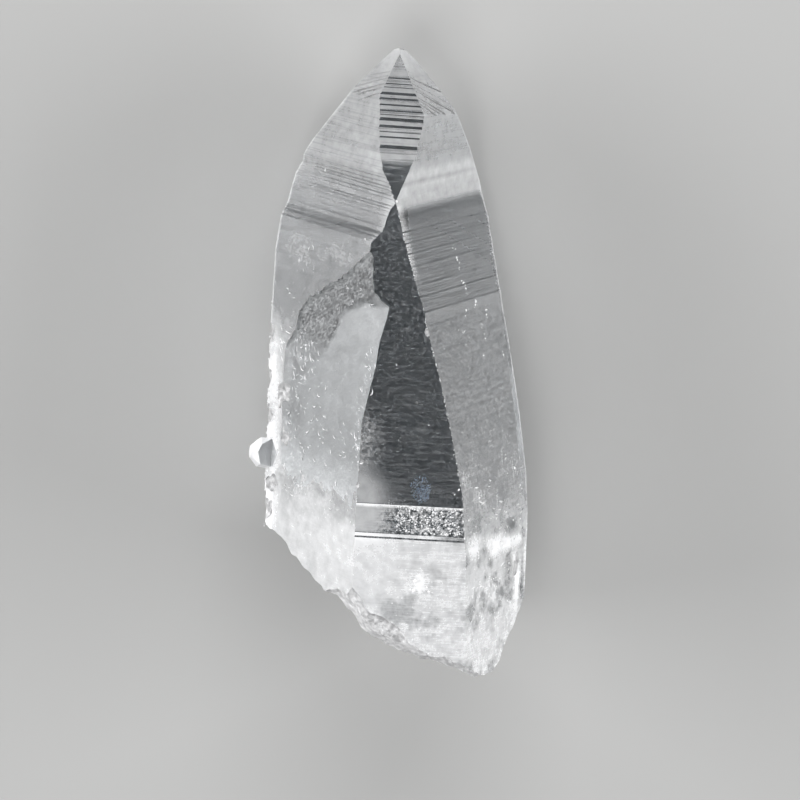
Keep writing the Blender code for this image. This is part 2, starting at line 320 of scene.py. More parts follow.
def cornerSpots(distances, depth):
    spots = []
    for face in range(6):
        one, two = outwardOf(face), outwardOf(face + 1)
        near, far = distances[face], distances[(face + 1) % 6]
        det = one.x * two.z - one.z * two.x
        spots.append(Vector(((near * two.z - one.z * far) / det, -depth,
                             (one.x * far - near * two.x) / det)))
    return spots


def grownBody(body, lines, chance):
    depths = {round(point[0], 3) for line in lines for point in line}
    ordered = sorted(depths)
    for above, below in zip(ordered, ordered[1:]):
        count = int((below - above) / body["striaeRows"])
        if above > body["striaeTop"] and count > 1:
            for i in range(1, count):
                place = i + chance.uniform(-body["striaeShift"], body["striaeShift"])
                depths.add(round(snapped(above + (below - above) * place / count), 3))
    depths = sorted(depths)
    bm = bmesh.new()
    rings = []
    for depth in depths:
        shown = smooth(*body["striaeFade"], depth)
        fine = [chance.uniform(0, deep) * shown for deep in body["striaeDepth"]]
        distances = [lineValue(line, depth) - cut for line, cut in zip(lines, fine)]
        corners = cornerSpots(distances, depth)
        ring = []
        for face in range(6):
            start, end = corners[(face - 1) % 6], corners[face]
            ring += [bm.verts.new(start.lerp(end, share)) for share in body["columns"]]
        rings.append(ring)
    count = len(rings[0])
    for upper, lower in zip(rings, rings[1:]):
        for i in range(count):
            j = (i + 1) % count
            bm.faces.new((upper[i], upper[j], lower[j], lower[i]))
    bm.faces.new(rings[0])
    bm.faces.new(list(reversed(rings[-1])))
    bmesh.ops.recalc_face_normals(bm, faces=bm.faces)
    for facet in body["tipFacets"]:
        layFacet(bm, *facet)
    print("grown body", len(bm.faces), "faces")
    return newObject("crystal_body", meshOf(bm, "crystal_body"))


def meanLine(face):
    return [(row[0], row[1]) for row in body["rows"][face]]


def faceSpot(face, across, depth, sunk=0.0):
    # place on a plain face, its growth steps left out
    spot = outwardOf(face) * (lineValue(meanLine(face), depth) - sunk) + acrossOf(face) * across
    return Vector((spot.x, -depth, spot.z))


def layFacet(bm, face, start, end, lean):
    # plane a thin slice off above the line between two places on a face
    one, two = faceSpot(face, *start), faceSpot(face, *end)
    three = faceSpot(face, start[0], start[1] + 1.0)
    along = (two - one).normalized()
    normal = (three - one).cross(along).normalized()
    if normal.dot(outwardOf(face)) < 0:
        normal = -normal
    turned = Matrix.Rotation(math.radians(lean), 3, along) @ normal
    if turned.y < normal.y:
        turned = Matrix.Rotation(math.radians(-lean), 3, along) @ normal
    shape = bm.verts[:] + bm.edges[:] + bm.faces[:]
    bmesh.ops.bisect_plane(bm, geom=shape, plane_co=one, plane_no=turned, clear_outer=True)
    bmesh.ops.holes_fill(bm, edges=[edge for edge in bm.edges if edge.is_boundary], sides=0)


# what has been broken and worn away
rootBreak = {
    "line": [(-26, 92), (-20, 96), (-12.5, 99.8), (-5, 103), (0, 108.6), (5, 111.8), (8, 113.2),
             (16, 115.8), (20.5, 116.8), (25.5, 117.4), (27.5, 116.2), (29.3, 113.2), (34, 105.4),
             (40, 96)],
    # slopes in front of and behind one line, then shell-shaped scoops and uneven grain
    "front": 12.0, "bevel": 0.4, "backSlope": 0.14,
    "scoop": 1.2, "scoopSize": 7.5, "scoopFall": 1.6, "grain": 0.45, "grainScale": 0.55,
    "ripple": 0.14, "rings": 16, "ringFall": 0.9,
    "fine": 0.26, "fineScale": 0.5, "inset": 0.15, "crease": 0.35,
    # worn corner at the front, as far as chamferEnd to the right
    "chamfer": 1.5, "chamferFront": 18.2, "chamferWander": 0.8, "chamferEnd": 9.0,
    # grid of the cutter: cell, then where it starts and how far it reaches
    "cell": 0.5, "rightGrid": (-26, 64), "frontGrid": (-31, 56), "below": 6,
}
scar = {
    "top": [(-14, 66), (-12.6, 61), (-12, 57.8), (-8.8, 54), (-8, 50.3), (-4.8, 47.2), (0, 44.4),
            (6.4, 40.9), (12, 36.3), (14, 35), (20, 32)],
    # smooth arch inside it: where it starts from above, and its left edge by depth
    "arch": [(2.9, 52), (4, 48.5), (7.1, 46), (12, 44.0), (16, 41.0), (20, 40.6)],
    "left": [(44, 6.0), (49.5, 4.2), (53, 2.6), (56.4, 0.2), (58.5, -1.6), (61, -5.0),
             (64, -8.0), (69.6, -5.3), (76, -4.0), (90, -3.0)],
    "soft": [(54, 0.8), (58, 1.6), (68, 3.0), (76, 6.0)], "slabEnd": (54, 57.5), "leftFade": 4.5,
    "tilt": [(44, 0.25), (48, 0.19), (52, 0.11), (57, 0.07), (67, 0.0)],
    "lip": [(34, 0.6), (44, 0.85), (52, 0.65), (58, 0.5), (68, 0.14), (84, 0.05)],
    "end": 86.0, "blend": 1.4, "soften": 3.4, "softenAcross": (10, 16), "ease": 0.9,
    # how deep the floor is: slow fall below the top edge, share in the arch, uneven lumps
    "fall": 0.07, "fallEnd": 8.0, "hollow": 0.3, "lump": 0.25, "leastLump": 0.05,
    "flake": 0.20, "terrace": 0.07, "satin": 0.04, "fold": 2.5,
    "shell": 0.30, "shellSize": 2.6, "shellFall": 1.7, "shellDepth": (54, 62),
    "fade": (77, 85.5), "rise": 0.06,
    # noise over the floor: its spacing across and down, and a seed
    "lumpAt": (0.5, 0.5, 2.0), "shiftAt": (0.8, 0.8, 7), "roughAt": (0.75, 0.60, 9),
    "foldAt": (0.35, 0.12, 21), "shift": 0.5,
    # grid of the cutter: across from, how wide, and how close the rows lie at the top
    "across": -14, "width": 34, "columns": 124, "rows": 124, "crowd": 1.1,
    "ragged": 0.7, "sill": 0.12, "over": 0.6, "edgeLift": 0.4, "lid": 4,
}
chips = {
    "seed": 7,
    # (face, across, depth, size across, size down, how deep)
    "places": [
        (5, -17.6, 56.5, 2.2, 3.6, 0.7),
        (5, -17.7, 65.5, 2.2, 3.2, 0.9), (5, -11.6, 67.5, 3.2, 4.2, 0.9),
        (5, -16.8, 72.5, 2.6, 3.4, 0.8), (5, -9.8, 75.5, 3.0, 4.0, 0.9),
        (5, -13.4, 85.5, 3.8, 3.6, 0.9),
        (5, -15.2, 91.5, 2.8, 4.4, 0.9),
        (0, 7.6, 49.5, 0.7, 1.2, 0.4),
        (1, 15.5, 97.0, 2.0, 4.2, 0.6), (2, 14.8, 72.0, 1.6, 3.2, 0.6),
        (3, 13.8, 66.0, 1.6, 3.0, 0.6), (4, -10.6, 90.0, 2.2, 4.0, 0.7),
    ],
    # shape of each bite: how thick for its width, how uneven, and how far it is turned
    "thick": 0.9, "full": 1.08, "facet": 0.36, "facetScale": 2.1, "lump": 0.12, "lumpScale": 1.3,
    "turn": 0.5,
}


def heightBlock(name, floor, lid):
    # closed block between a grid of floor places and a grid of lid places
    bm = bmesh.new()
    low = [[bm.verts.new(spot) for spot in row] for row in floor]
    high = [[bm.verts.new(spot) for spot in row] for row in lid]
    rows, columns = len(low), len(low[0])
    for i in range(rows - 1):
        for j in range(columns - 1):
            bm.faces.new((low[i][j], low[i + 1][j], low[i + 1][j + 1], low[i][j + 1]))
            bm.faces.new((high[i][j], high[i][j + 1], high[i + 1][j + 1], high[i + 1][j]))
    for i in range(rows - 1):
        bm.faces.new((low[i][0], high[i][0], high[i + 1][0], low[i + 1][0]))
        bm.faces.new((low[i][-1], low[i + 1][-1], high[i + 1][-1], high[i][-1]))
    for j in range(columns - 1):
        bm.faces.new((low[0][j], low[0][j + 1], high[0][j + 1], high[0][j]))
        bm.faces.new((low[-1][j], high[-1][j], high[-1][j + 1], low[-1][j + 1]))
    return newObject(name, meshOf(bm, name))


def scoopMiddle(right, front):
    # how far it is to the middle of the nearest shell-shaped hollow
    size = rootBreak["scoopSize"]
    spot = Vector((right / size, front / size, 0.37))
    return noise.voronoi(spot, distance_metric="DISTANCE")[0][0]


def breakDepth(right, front):
    depth = lineValue(rootBreak["line"], right)
    depth -= rootBreak["bevel"] * max(0.0, front - rootBreak["front"])
    depth -= rootBreak["backSlope"] * max(0.0, rootBreak["front"] - front)
    far = scoopMiddle(right, front)
    depth -= rootBreak["scoop"] * max(0.0, 1 - far * far * rootBreak["scoopFall"])
    spot = Vector((right, front, 5.0)) * rootBreak["grainScale"]
    return depth + rootBreak["grain"] * noise.noise(spot)


def fineBreakDepth(right, front):
    depth = breakDepth(right, front)
    # rings that spread from the middle of each hollow
    far = scoopMiddle(right, front)
    rings = math.sin(far * rootBreak["rings"]) * max(0.0, 1 - far * rootBreak["ringFall"])
    depth += rootBreak["ripple"] * rings
    spot = Vector((right, front, 3.0))
    rough = noise.fractal(spot * rootBreak["fineScale"], 0.7, 2.0, 2)
    depth += rootBreak["fine"] * rough - rootBreak["inset"]
    wander = rootBreak["chamferWander"] * noise.noise(spot * 0.4)
    worn = max(0.0, front - rootBreak["chamferFront"] + wander)
    worn *= 1 - smooth(0.6 * rootBreak["chamferEnd"], rootBreak["chamferEnd"], right)
    depth -= rootBreak["chamfer"] * worn
    return depth - rootBreak["crease"] * abs(noise.noise(spot * 0.35 + Vector((0, 0, 9))))


def rootCutter():
    cell = rootBreak["cell"]
    rights, fronts = (
        [start + i * cell for i in range(int(reach / cell))]
        for start, reach in (rootBreak["rightGrid"], rootBreak["frontGrid"])
    )
    floor = [[Vector((r, -fineBreakDepth(r, f), f)) for r in rights] for f in fronts]
    lid = [[Vector((r, -body["stemEnd"] - rootBreak["below"], f)) for r in rights] for f in fronts]
    return heightBlock("root_cutter", floor, lid)


def scarParts(across, depth):
    # sunk depth of the scar floor under the plain face, and how far inside the arch
    def at(kind):
        wide, tall, seed = scar[kind]
        return Vector((across * wide, depth * tall, seed))

    top = lineValue(scar["top"], across)
    lip = lineValue(scar["lip"], depth)
    sunk = lip * (1 + scar["fall"] * min(depth - top, scar["fallEnd"]))
    lump = noise.noise(at("lumpAt"))
    shift = scar["shift"] * noise.noise(at("shiftAt"))
    left, soft = lineValue(scar["left"], depth), lineValue(scar["soft"], depth)
    blend = scar["blend"] + scar["soften"] * smooth(*scar["softenAcross"], across)
    inside = smooth(0, blend, depth + shift - lineValue(scar["arch"], across))
    inside *= smooth(-soft / 2, soft / 2, across + shift - left)
    tilt = lineValue(scar["tilt"], depth)
    hollow = scar["hollow"] * lip + tilt * max(0.0, across - max(left, 0.0))
    uneven = scar["lump"] * lip * (1 - inside) + scar["leastLump"]
    sunk += inside * hollow + uneven * lump
    slant = Vector((across * 0.80 + depth * 0.35, depth * 0.20 - across * 0.16, 4))
    flake = 0.5 - 2 * abs(noise.noise(slant))
    rough = noise.fractal(at("roughAt"), 0.8, 2.0, 2)
    slab = (1 - inside) * (1 - smooth(*scar["slabEnd"], depth))
    sunk += slab * (scar["flake"] * flake + scar["terrace"] * rough)
    sunk += inside * scar["satin"] * (rough + scar["fold"] * noise.noise(at("foldAt")))
    sunk *= smooth(-0.3, scar["ease"], depth - top)
    worn = (1 - inside) * smooth(*scar["shellDepth"], depth)
    if worn > 0:
        size = scar["shellSize"]
        spots, _ = noise.voronoi(Vector((across / size, depth / size * 0.7, 1.7)))
        sunk += worn * scar["shell"] * max(0.0, 1 - spots[0] * spots[0] * scar["shellFall"])
    fade = smooth(*scar["fade"], depth + 5 * shift + 2 * lump)
    return sunk * (1 - fade) - scar["rise"] * fade, inside


def scarCutter():
    floor, lid = [], []
    rows, columns, over = scar["rows"], scar["columns"], scar["over"]
    for i in range(columns + 1):
        across = scar["across"] + scar["width"] * i / columns
        ragged = scar["ragged"] * noise.fractal(Vector((across * 0.9, 3.1, 0)), 0.7, 2.0, 4)
        top = lineValue(scar["top"], across) + ragged
        steps = [(j / rows) ** scar["crowd"] for j in range(rows + 1)]
        depths = [top + (scar["end"] - top) * step for step in steps]
        edge = smooth(0, scar["leftFade"], across - scar["across"])
        lift = scar["edgeLift"] * (1 - edge)
        sunks = [scarParts(across, depth)[0] * edge - lift for depth in depths]
        first, last = top - scar["sill"], scar["end"] + 2
        line = [faceSpot(5, across, depth, sunk) for depth, sunk in zip(depths, sunks)]
        floor.append([faceSpot(5, across, first, -over), *line, faceSpot(5, across, last, -over)])
        lid.append([faceSpot(5, across, depth, -scar["lid"]) for depth in (first, *depths, last)])
    return heightBlock("scar_cutter", floor, lid)


def chipCutter(number, face, across, depth, wide, tall, deep, chance):
    # uneven lump that bites shell-shaped hollows out of the surface
    thick = wide * chips["thick"]
    middle = faceSpot(face, across, depth, deep - thick)
    turn = Matrix.Rotation(chance.uniform(-chips["turn"], chips["turn"]), 3, outwardOf(face))
    bm = bmesh.new()
    bmesh.ops.create_icosphere(bm, subdivisions=4, radius=1.0)
    for vert in bm.verts:
        unit = vert.co.copy()
        spots, _ = noise.voronoi(unit * chips["facetScale"] + Vector((number * 3.7, 0, 0)))
        lump = noise.noise(unit * chips["lumpScale"] + Vector((0, number, 0)))
        unit *= chips["full"] - chips["facet"] * spots[0] + chips["lump"] * lump
        shaped = acrossOf(face) * unit.x * wide + Vector((0, 1, 0)) * unit.y * tall
        vert.co = middle + turn @ (shaped + outwardOf(face) * unit.z * thick)
    return newObject(f"chip_cutter_{number:02d}", meshOf(bm, "chip_cutter"))


nicks = {
    "seed": 12,
    # (corner between a face and the next, from depth, to depth, how many, small, large)
    "edges": [(4, 51, 99, 26, 0.25, 0.9), (0, 26.2, 95, 30, 0.16, 0.42), (5, 46, 84, 26, 0.2, 0.75),
              (1, 30, 104, 12, 0.15, 0.5), (3, 30, 98, 12, 0.3, 1.1), (2, 30, 104, 10, 0.3, 1.0)],
    "stray": 0.6, "curve": 2.2, "turn": 0.7, "stretch": (0.9, 2.0),
    "full": 1.1, "facet": 0.4, "facetScale": 1.5, "outside": 0.45, "fineFrom": 0.6,
}


def nickCutters(lines):
    # small ragged bites along the long edges
    chance = random.Random(nicks["seed"])
    cutters = []
    for corner, top, low, count, small, large in nicks["edges"]:
        out = (outwardOf(corner) + outwardOf(corner + 1)).normalized()
        for number in range(count):
            stray = chance.uniform(-nicks["stray"], nicks["stray"])
            depth = top + (low - top) * (number + stray) / count
            spot = cornerSpots([lineValue(line, depth) for line in lines], depth)[corner]
            size = small + (large - small) * chance.random() ** nicks["curve"]
            fine = 2 if size < nicks["fineFrom"] else 3
            bm = bmesh.new()
            bmesh.ops.create_icosphere(bm, subdivisions=fine, radius=size)
            stretch = Vector((1, chance.uniform(*nicks["stretch"]), 1))
            turn = Matrix.Rotation(chance.uniform(-nicks["turn"], nicks["turn"]), 3, out)
            offset = Vector((depth * 3.7, size, 0))
            for vert in bm.verts:
                spots, _ = noise.voronoi(vert.co / size * nicks["facetScale"] + offset)
                shaped = turn @ (vert.co * (nicks["full"] - nicks["facet"] * spots[0]) * stretch)
                vert.co = spot + out * size * nicks["outside"] + shaped
            cutters.append(newObject(f"nick_{corner}_{number:02d}", meshOf(bm, "nick")))
    return cutters


grooves = {
    "deep": 0.05, "tall": 0.4, "half": 0.4,
    # fine lines by the tip: (face, start, end), the places as (across, depth)
    "lines": [
        (1, (-1.5, 3.4), (7.6, 5.9)), (1, (-1.9, 4.4), (8.4, 7.9)), (1, (-2.4, 5.4), (9.0, 9.8)),
        (1, (-2.5, 6.1), (8.9, 10.9)), (1, (-2.1, 6.8), (9.6, 11.7)), (1, (-2.8, 7.8), (5.5, 11.5)),
        (1, (-3.0, 8.3), (3.0, 11.2)), (1, (-3.2, 8.9), (1.0, 11.3)),
        (5, (1.5, 3.6), (-3.6, 5.0)), (5, (1.8, 4.3), (-4.6, 6.2)), (5, (2.0, 4.8), (-5.6, 7.3)),
        (5, (2.4, 5.7), (-5.6, 8.6)), (5, (2.5, 6.4), (-4.4, 8.9)), (5, (2.9, 7.4), (-3.0, 9.6)),
    ],
}


def treeOver(mesh, corners):
    return BVHTree.FromPolygons(corners, [list(part.vertices) for part in mesh.polygons])


def skinUnder(shape):
    # finds the place on the body under a spot given as (across, depth)
    tree = treeOver(shape.data, [vert.co for vert in shape.data.vertices])

    def find(face, across, depth):
        hit = tree.ray_cast(faceSpot(face, across, depth, -3), -outwardOf(face), 4)[0]
        return hit or faceSpot(face, across, depth)

    return find


def grooveCutter(number, find, face, start, end):
    # thin three-sided bar laid along the line, its lower edge under the surface
    one, two = find(face, *start), find(face, *end)
    side = (two - one).normalized().cross(outwardOf(face)).normalized()
    out = side.cross((two - one).normalized())
    if out.dot(outwardOf(face)) < 0:
        out = -out
    lift, half = out * (grooves["tall"] - grooves["deep"]), side * grooves["half"]
    shifts = (lift - half, lift + half, -out * grooves["deep"])
    bm = bmesh.new()
    ends = [[bm.verts.new(spot + shift) for shift in shifts] for spot in (one, two)]
    bm.faces.new(ends[0])
    bm.faces.new(list(reversed(ends[1])))
    for i in range(3):
        j = (i + 1) % 3
        bm.faces.new((ends[0][i], ends[1][i], ends[1][j], ends[0][j]))
    return newObject(f"groove_{number:02d}", meshOf(bm, "groove"))


nub = {
    "spot": (-17.4, 79.8, -6.8), "aim": (-1.0, 0.1, 0.22),
    "radius": 2.9, "reach": 5.3, "tip": 1.9, "blunt": 0.25, "bluntShare": 0.42,
    "root": -3.5, "flare": 1.08,
    # two opposite corners stand out, and the section is turned and a little flat
    "wide": 1.12, "narrow": 0.93, "flat": 0.92, "turn": 17,
    # how far its end is cut askew, at the shoulder and above it, and its peak moved over
    "askew": (0.3, 0.1), "peakShift": 0.3,
}


def sideCrystal(nub):
    right, depth, front = nub["spot"]
    root = Vector((right, -depth, front))
    aim = Vector(nub["aim"]).normalized()
    side = aim.cross(Vector((0, 0, 1))).normalized()
    up = side.cross(aim)
    bm = bmesh.new()

    def ring(reach, radius, lean):
        loop = []
        for i in range(6):
            turn = math.radians(60 * i + nub["turn"])
            wide = radius * (nub["wide"] if i % 3 == 0 else nub["narrow"])
            spot = side * math.cos(turn) * wide + up * math.sin(turn) * wide * nub["flat"]
            loop.append(bm.verts.new(root + aim * (reach + lean * math.cos(turn)) + spot))
        return loop

    reach, radius, (low, high) = nub["reach"], nub["radius"], nub["askew"]
    rings = [ring(nub["root"], radius * nub["flare"], 0), ring(reach - nub["tip"], radius, low),
             ring(reach - nub["blunt"], radius * nub["bluntShare"], high)]
    for lower, upper in zip(rings, rings[1:]):
        for i in range(6):
            j = (i + 1) % 6
            bm.faces.new((lower[i], lower[j], upper[j], upper[i]))
    peak = bm.verts.new(root + aim * reach + side * nub["peakShift"])
    for i in range(6):
        bm.faces.new((rings[2][i], rings[2][(i + 1) % 6], peak))
    bm.faces.new(list(reversed(rings[0])))
    return newObject("side_crystal", meshOf(bm, "side_crystal"))


# quartz finishes
glass = {
    "ior": 1.544,
    "absorbTone": (0.85, 0.86, 0.866, 1),
    "absorbDensity": 86.0,
    "clearTone": (0.875, 0.89, 0.915, 1),
    "clearEnd": 0.25,
    "grainRough": 0.62,
    # how far each kind of growth line is drawn out along its axes
    "lineStretch": (20.0, 0.62, 20.0), "fineStretch": (20.0, 0.36, 20.0),
    "dashStretch": (3.2, 0.15, 3.2),
    # noise from, to, and the amounts that these stand for
    "mottleRange": (0.3, 0.7, 0.82, 1.18), "patchRange": (0.50, 0.60, 0.0, 1.0),
    "darkRange": (0.40, 0.52, 1.0, 0.0), "lineRange": (0.50, 0.68, 0.0, 0.5),
    "dashRange": (0.48, 0.64, 0.0, 1.0), "fleckRange": (0.40, 0.64, -0.7, 1.0),
}
# rough: clear to milky; mottle, patch and fleck: how fine each kind of marking is
looks = {
    "grown": {"tint": (0.985, 0.99, 1.0, 1), "rough": (0.015, 0.40), "mottle": 0.45, "patch": 0.16,
              "fleck": 1.5, "fleckDetail": 4.5, "relief": 0.00006, "lineRelief": 0.06},
    "broken": {"tint": (0.99, 0.99, 1.0, 1), "rough": (0.25, 0.45), "mottle": 0.8, "patch": 0.5,
               "fleck": 1.2, "fleckDetail": 3.5, "relief": 0.0005, "lineRelief": 0.0},
    "scar": {"tint": (0.955, 0.98, 1.0, 1), "rough": (0.42, 0.50), "mottle": 0.30, "patch": 0.3,
             "fleck": 1.0, "fleckDetail": 3.0, "relief": 0.0011, "lineRelief": 0.0, "slant": 0.75,
             "stretch": (0.85, 0.34, 0.6)},
    "groove": {"tint": (0.985, 0.99, 1.0, 1), "rough": (0.05, 0.40), "mottle": 0.5, "patch": 0.2,
               "fleck": 1.5, "fleckDetail": 2.0, "relief": 0.00001, "lineRelief": 0.0},
}


def quartzShader(name):
    material = bpy.data.materials.new(name)
    material.use_nodes = True
    tree = material.node_tree
    shader = tree.nodes["Principled BSDF"]
    shader.inputs["IOR"].default_value = glass["ior"]
    output = tree.nodes["Material Output"]
    inner = addNode(tree, "ShaderNodeVolumeAbsorption",
                    {"Color": glass["absorbTone"], "Density": glass["absorbDensity"]})
    tree.links.new(inner.outputs[0], output.inputs["Volume"])
    return material, tree, shader


def crystalCoords(tree):
    # Object coordinates back to millimetres on the crystal's own axis
    spot = tree.nodes.new("ShaderNodeTexCoord")
    back = layDown.inverted()
    return addNode(tree, "ShaderNodeMapping", {
        "Vector": spot.outputs["Object"],
        "Location": back.translation,
        "Rotation": back.to_euler(),
        "Scale": (1000, 1000, 1000),
    }).outputs[0]


def painted(tree, name):
    # the three amounts painted on the mesh under one name
    paint = addNode(tree, "ShaderNodeAttribute", attribute_name=name).outputs["Vector"]
    return addNode(tree, "ShaderNodeSeparateXYZ", {"Vector": paint}).outputs


def grain(tree, spot, scale, detail, stretch=None, slant=0.0):
    # noise, drawn out along its own axes once these are turned by the slant
    if stretch:
        spot = addNode(tree, "ShaderNodeMapping", {
            "Vector": spot, "Rotation": (0, 0, slant), "Scale": stretch},
            vector_type="TEXTURE").outputs[0]
    return addNode(tree, "ShaderNodeTexNoise", {
        "Vector": spot, "Scale": scale, "Detail": detail,
        "Roughness": glass["grainRough"]}).outputs["Fac"]


def quartzFinish(name, look):
    # clear glass that turns white by the painted amounts, real cloudiness and partly painted sheen,
    # broken up by fine markings
    material, tree, shader = quartzShader(name)
    spot = crystalCoords(tree)
    hazeAndSheen, gapShare, fleckShare = painted(tree, "milk")
    brightShare, darkShare, _ = painted(tree, "growth")

    def ranged(value, kind):
        return mapRange(tree, value, *glass[kind + "Range"])

    def times(one, two):
        return math2(tree, "MULTIPLY", one, two)

    lines = grain(tree, spot, 1.0, 5.0, glass["lineStretch"])
    fineLines = grain(tree, spot, 1.0, 2.0, glass["fineStretch"])
    dashes = grain(tree, spot, 1.0, 1.0, glass["dashStretch"])
    mottle = ranged(grain(tree, spot, look["mottle"], 6.0), "mottle")
    patch = ranged(grain(tree, spot, look["patch"], 3.5), "patch")
    flecks = grain(tree, spot, look["fleck"], look["fleckDetail"], look.get("stretch"),
                   look.get("slant", 0.0))
    whole = math2(tree, "SUBTRACT", 1.0, times(patch, gapShare))
    light = math2(tree, "SUBTRACT", 1.0, times(ranged(fineLines, "dark"), darkShare))
    milk = times(times(times(hazeAndSheen, mottle), whole), light)
    bright = times(math2(tree, "ADD", ranged(lines, "line"), ranged(dashes, "dash")), brightShare)
    fleck = times(ranged(flecks, "fleck"), fleckShare)
    milk = math2(tree, "ADD", math2(tree, "ADD", milk, bright), fleck, clamp=True)
    tree.links.new(math2(tree, "SUBTRACT", 1.0, milk), shader.inputs["Transmission Weight"])
    tree.links.new(mapRange(tree, milk, 0.0, 1.0, *look["rough"]), shader.inputs["Roughness"])
    tone = addNode(tree, "ShaderNodeValToRGB", {"Fac": milk})
    clearStop, milkStop = tone.color_ramp.elements
    clearStop.color, milkStop.color = glass["clearTone"], look["tint"]
    milkStop.position = glass["clearEnd"]
    tree.links.new(tone.outputs["Color"], shader.inputs["Base Color"])
    height = math2(tree, "ADD", times(flecks, fleckShare), times(lines, look["lineRelief"]))
    bump = addNode(tree, "ShaderNodeBump", {
        "Strength": 1.0, "Distance": look["relief"], "Height": height})
    tree.links.new(bump.outputs[0], shader.inputs["Normal"])
    return material


def carveBody(shape, finishes):
    for name in finishOrder:
        shape.data.materials.append(finishes[name])
    tools = [(sideCrystal(nub), "UNION", "grown")]
    find = skinUnder(shape)
    tools += [(grooveCutter(number, find, *line), "DIFFERENCE", "groove")
              for number, line in enumerate(grooves["lines"], 1)]
    tools.append((rootCutter(), "DIFFERENCE", "broken"))
    tools.append((scarCutter(), "DIFFERENCE", "scar"))
    chance = random.Random(chips["seed"])
    for number, chip in enumerate(chips["places"], 1):
        tools.append((chipCutter(number, *chip, chance), "DIFFERENCE", "broken"))
    tools += [(cutter, "DIFFERENCE", "broken") for cutter in nickCutters(grownLines)]
    for tool, operation, finish in tools:
        tool.data.materials.append(finishes[finish])
        step = shape.modifiers.new(tool.name, "BOOLEAN")
        step.operation = operation
        step.solver = "MANIFOLD"
        step.material_mode = "TRANSFER"
        step.object = tool
    plainMesh(shape, "crystal_body")
    for tool, _, _ in tools:
        bpy.data.objects.remove(tool, do_unlink=True)
    return shape
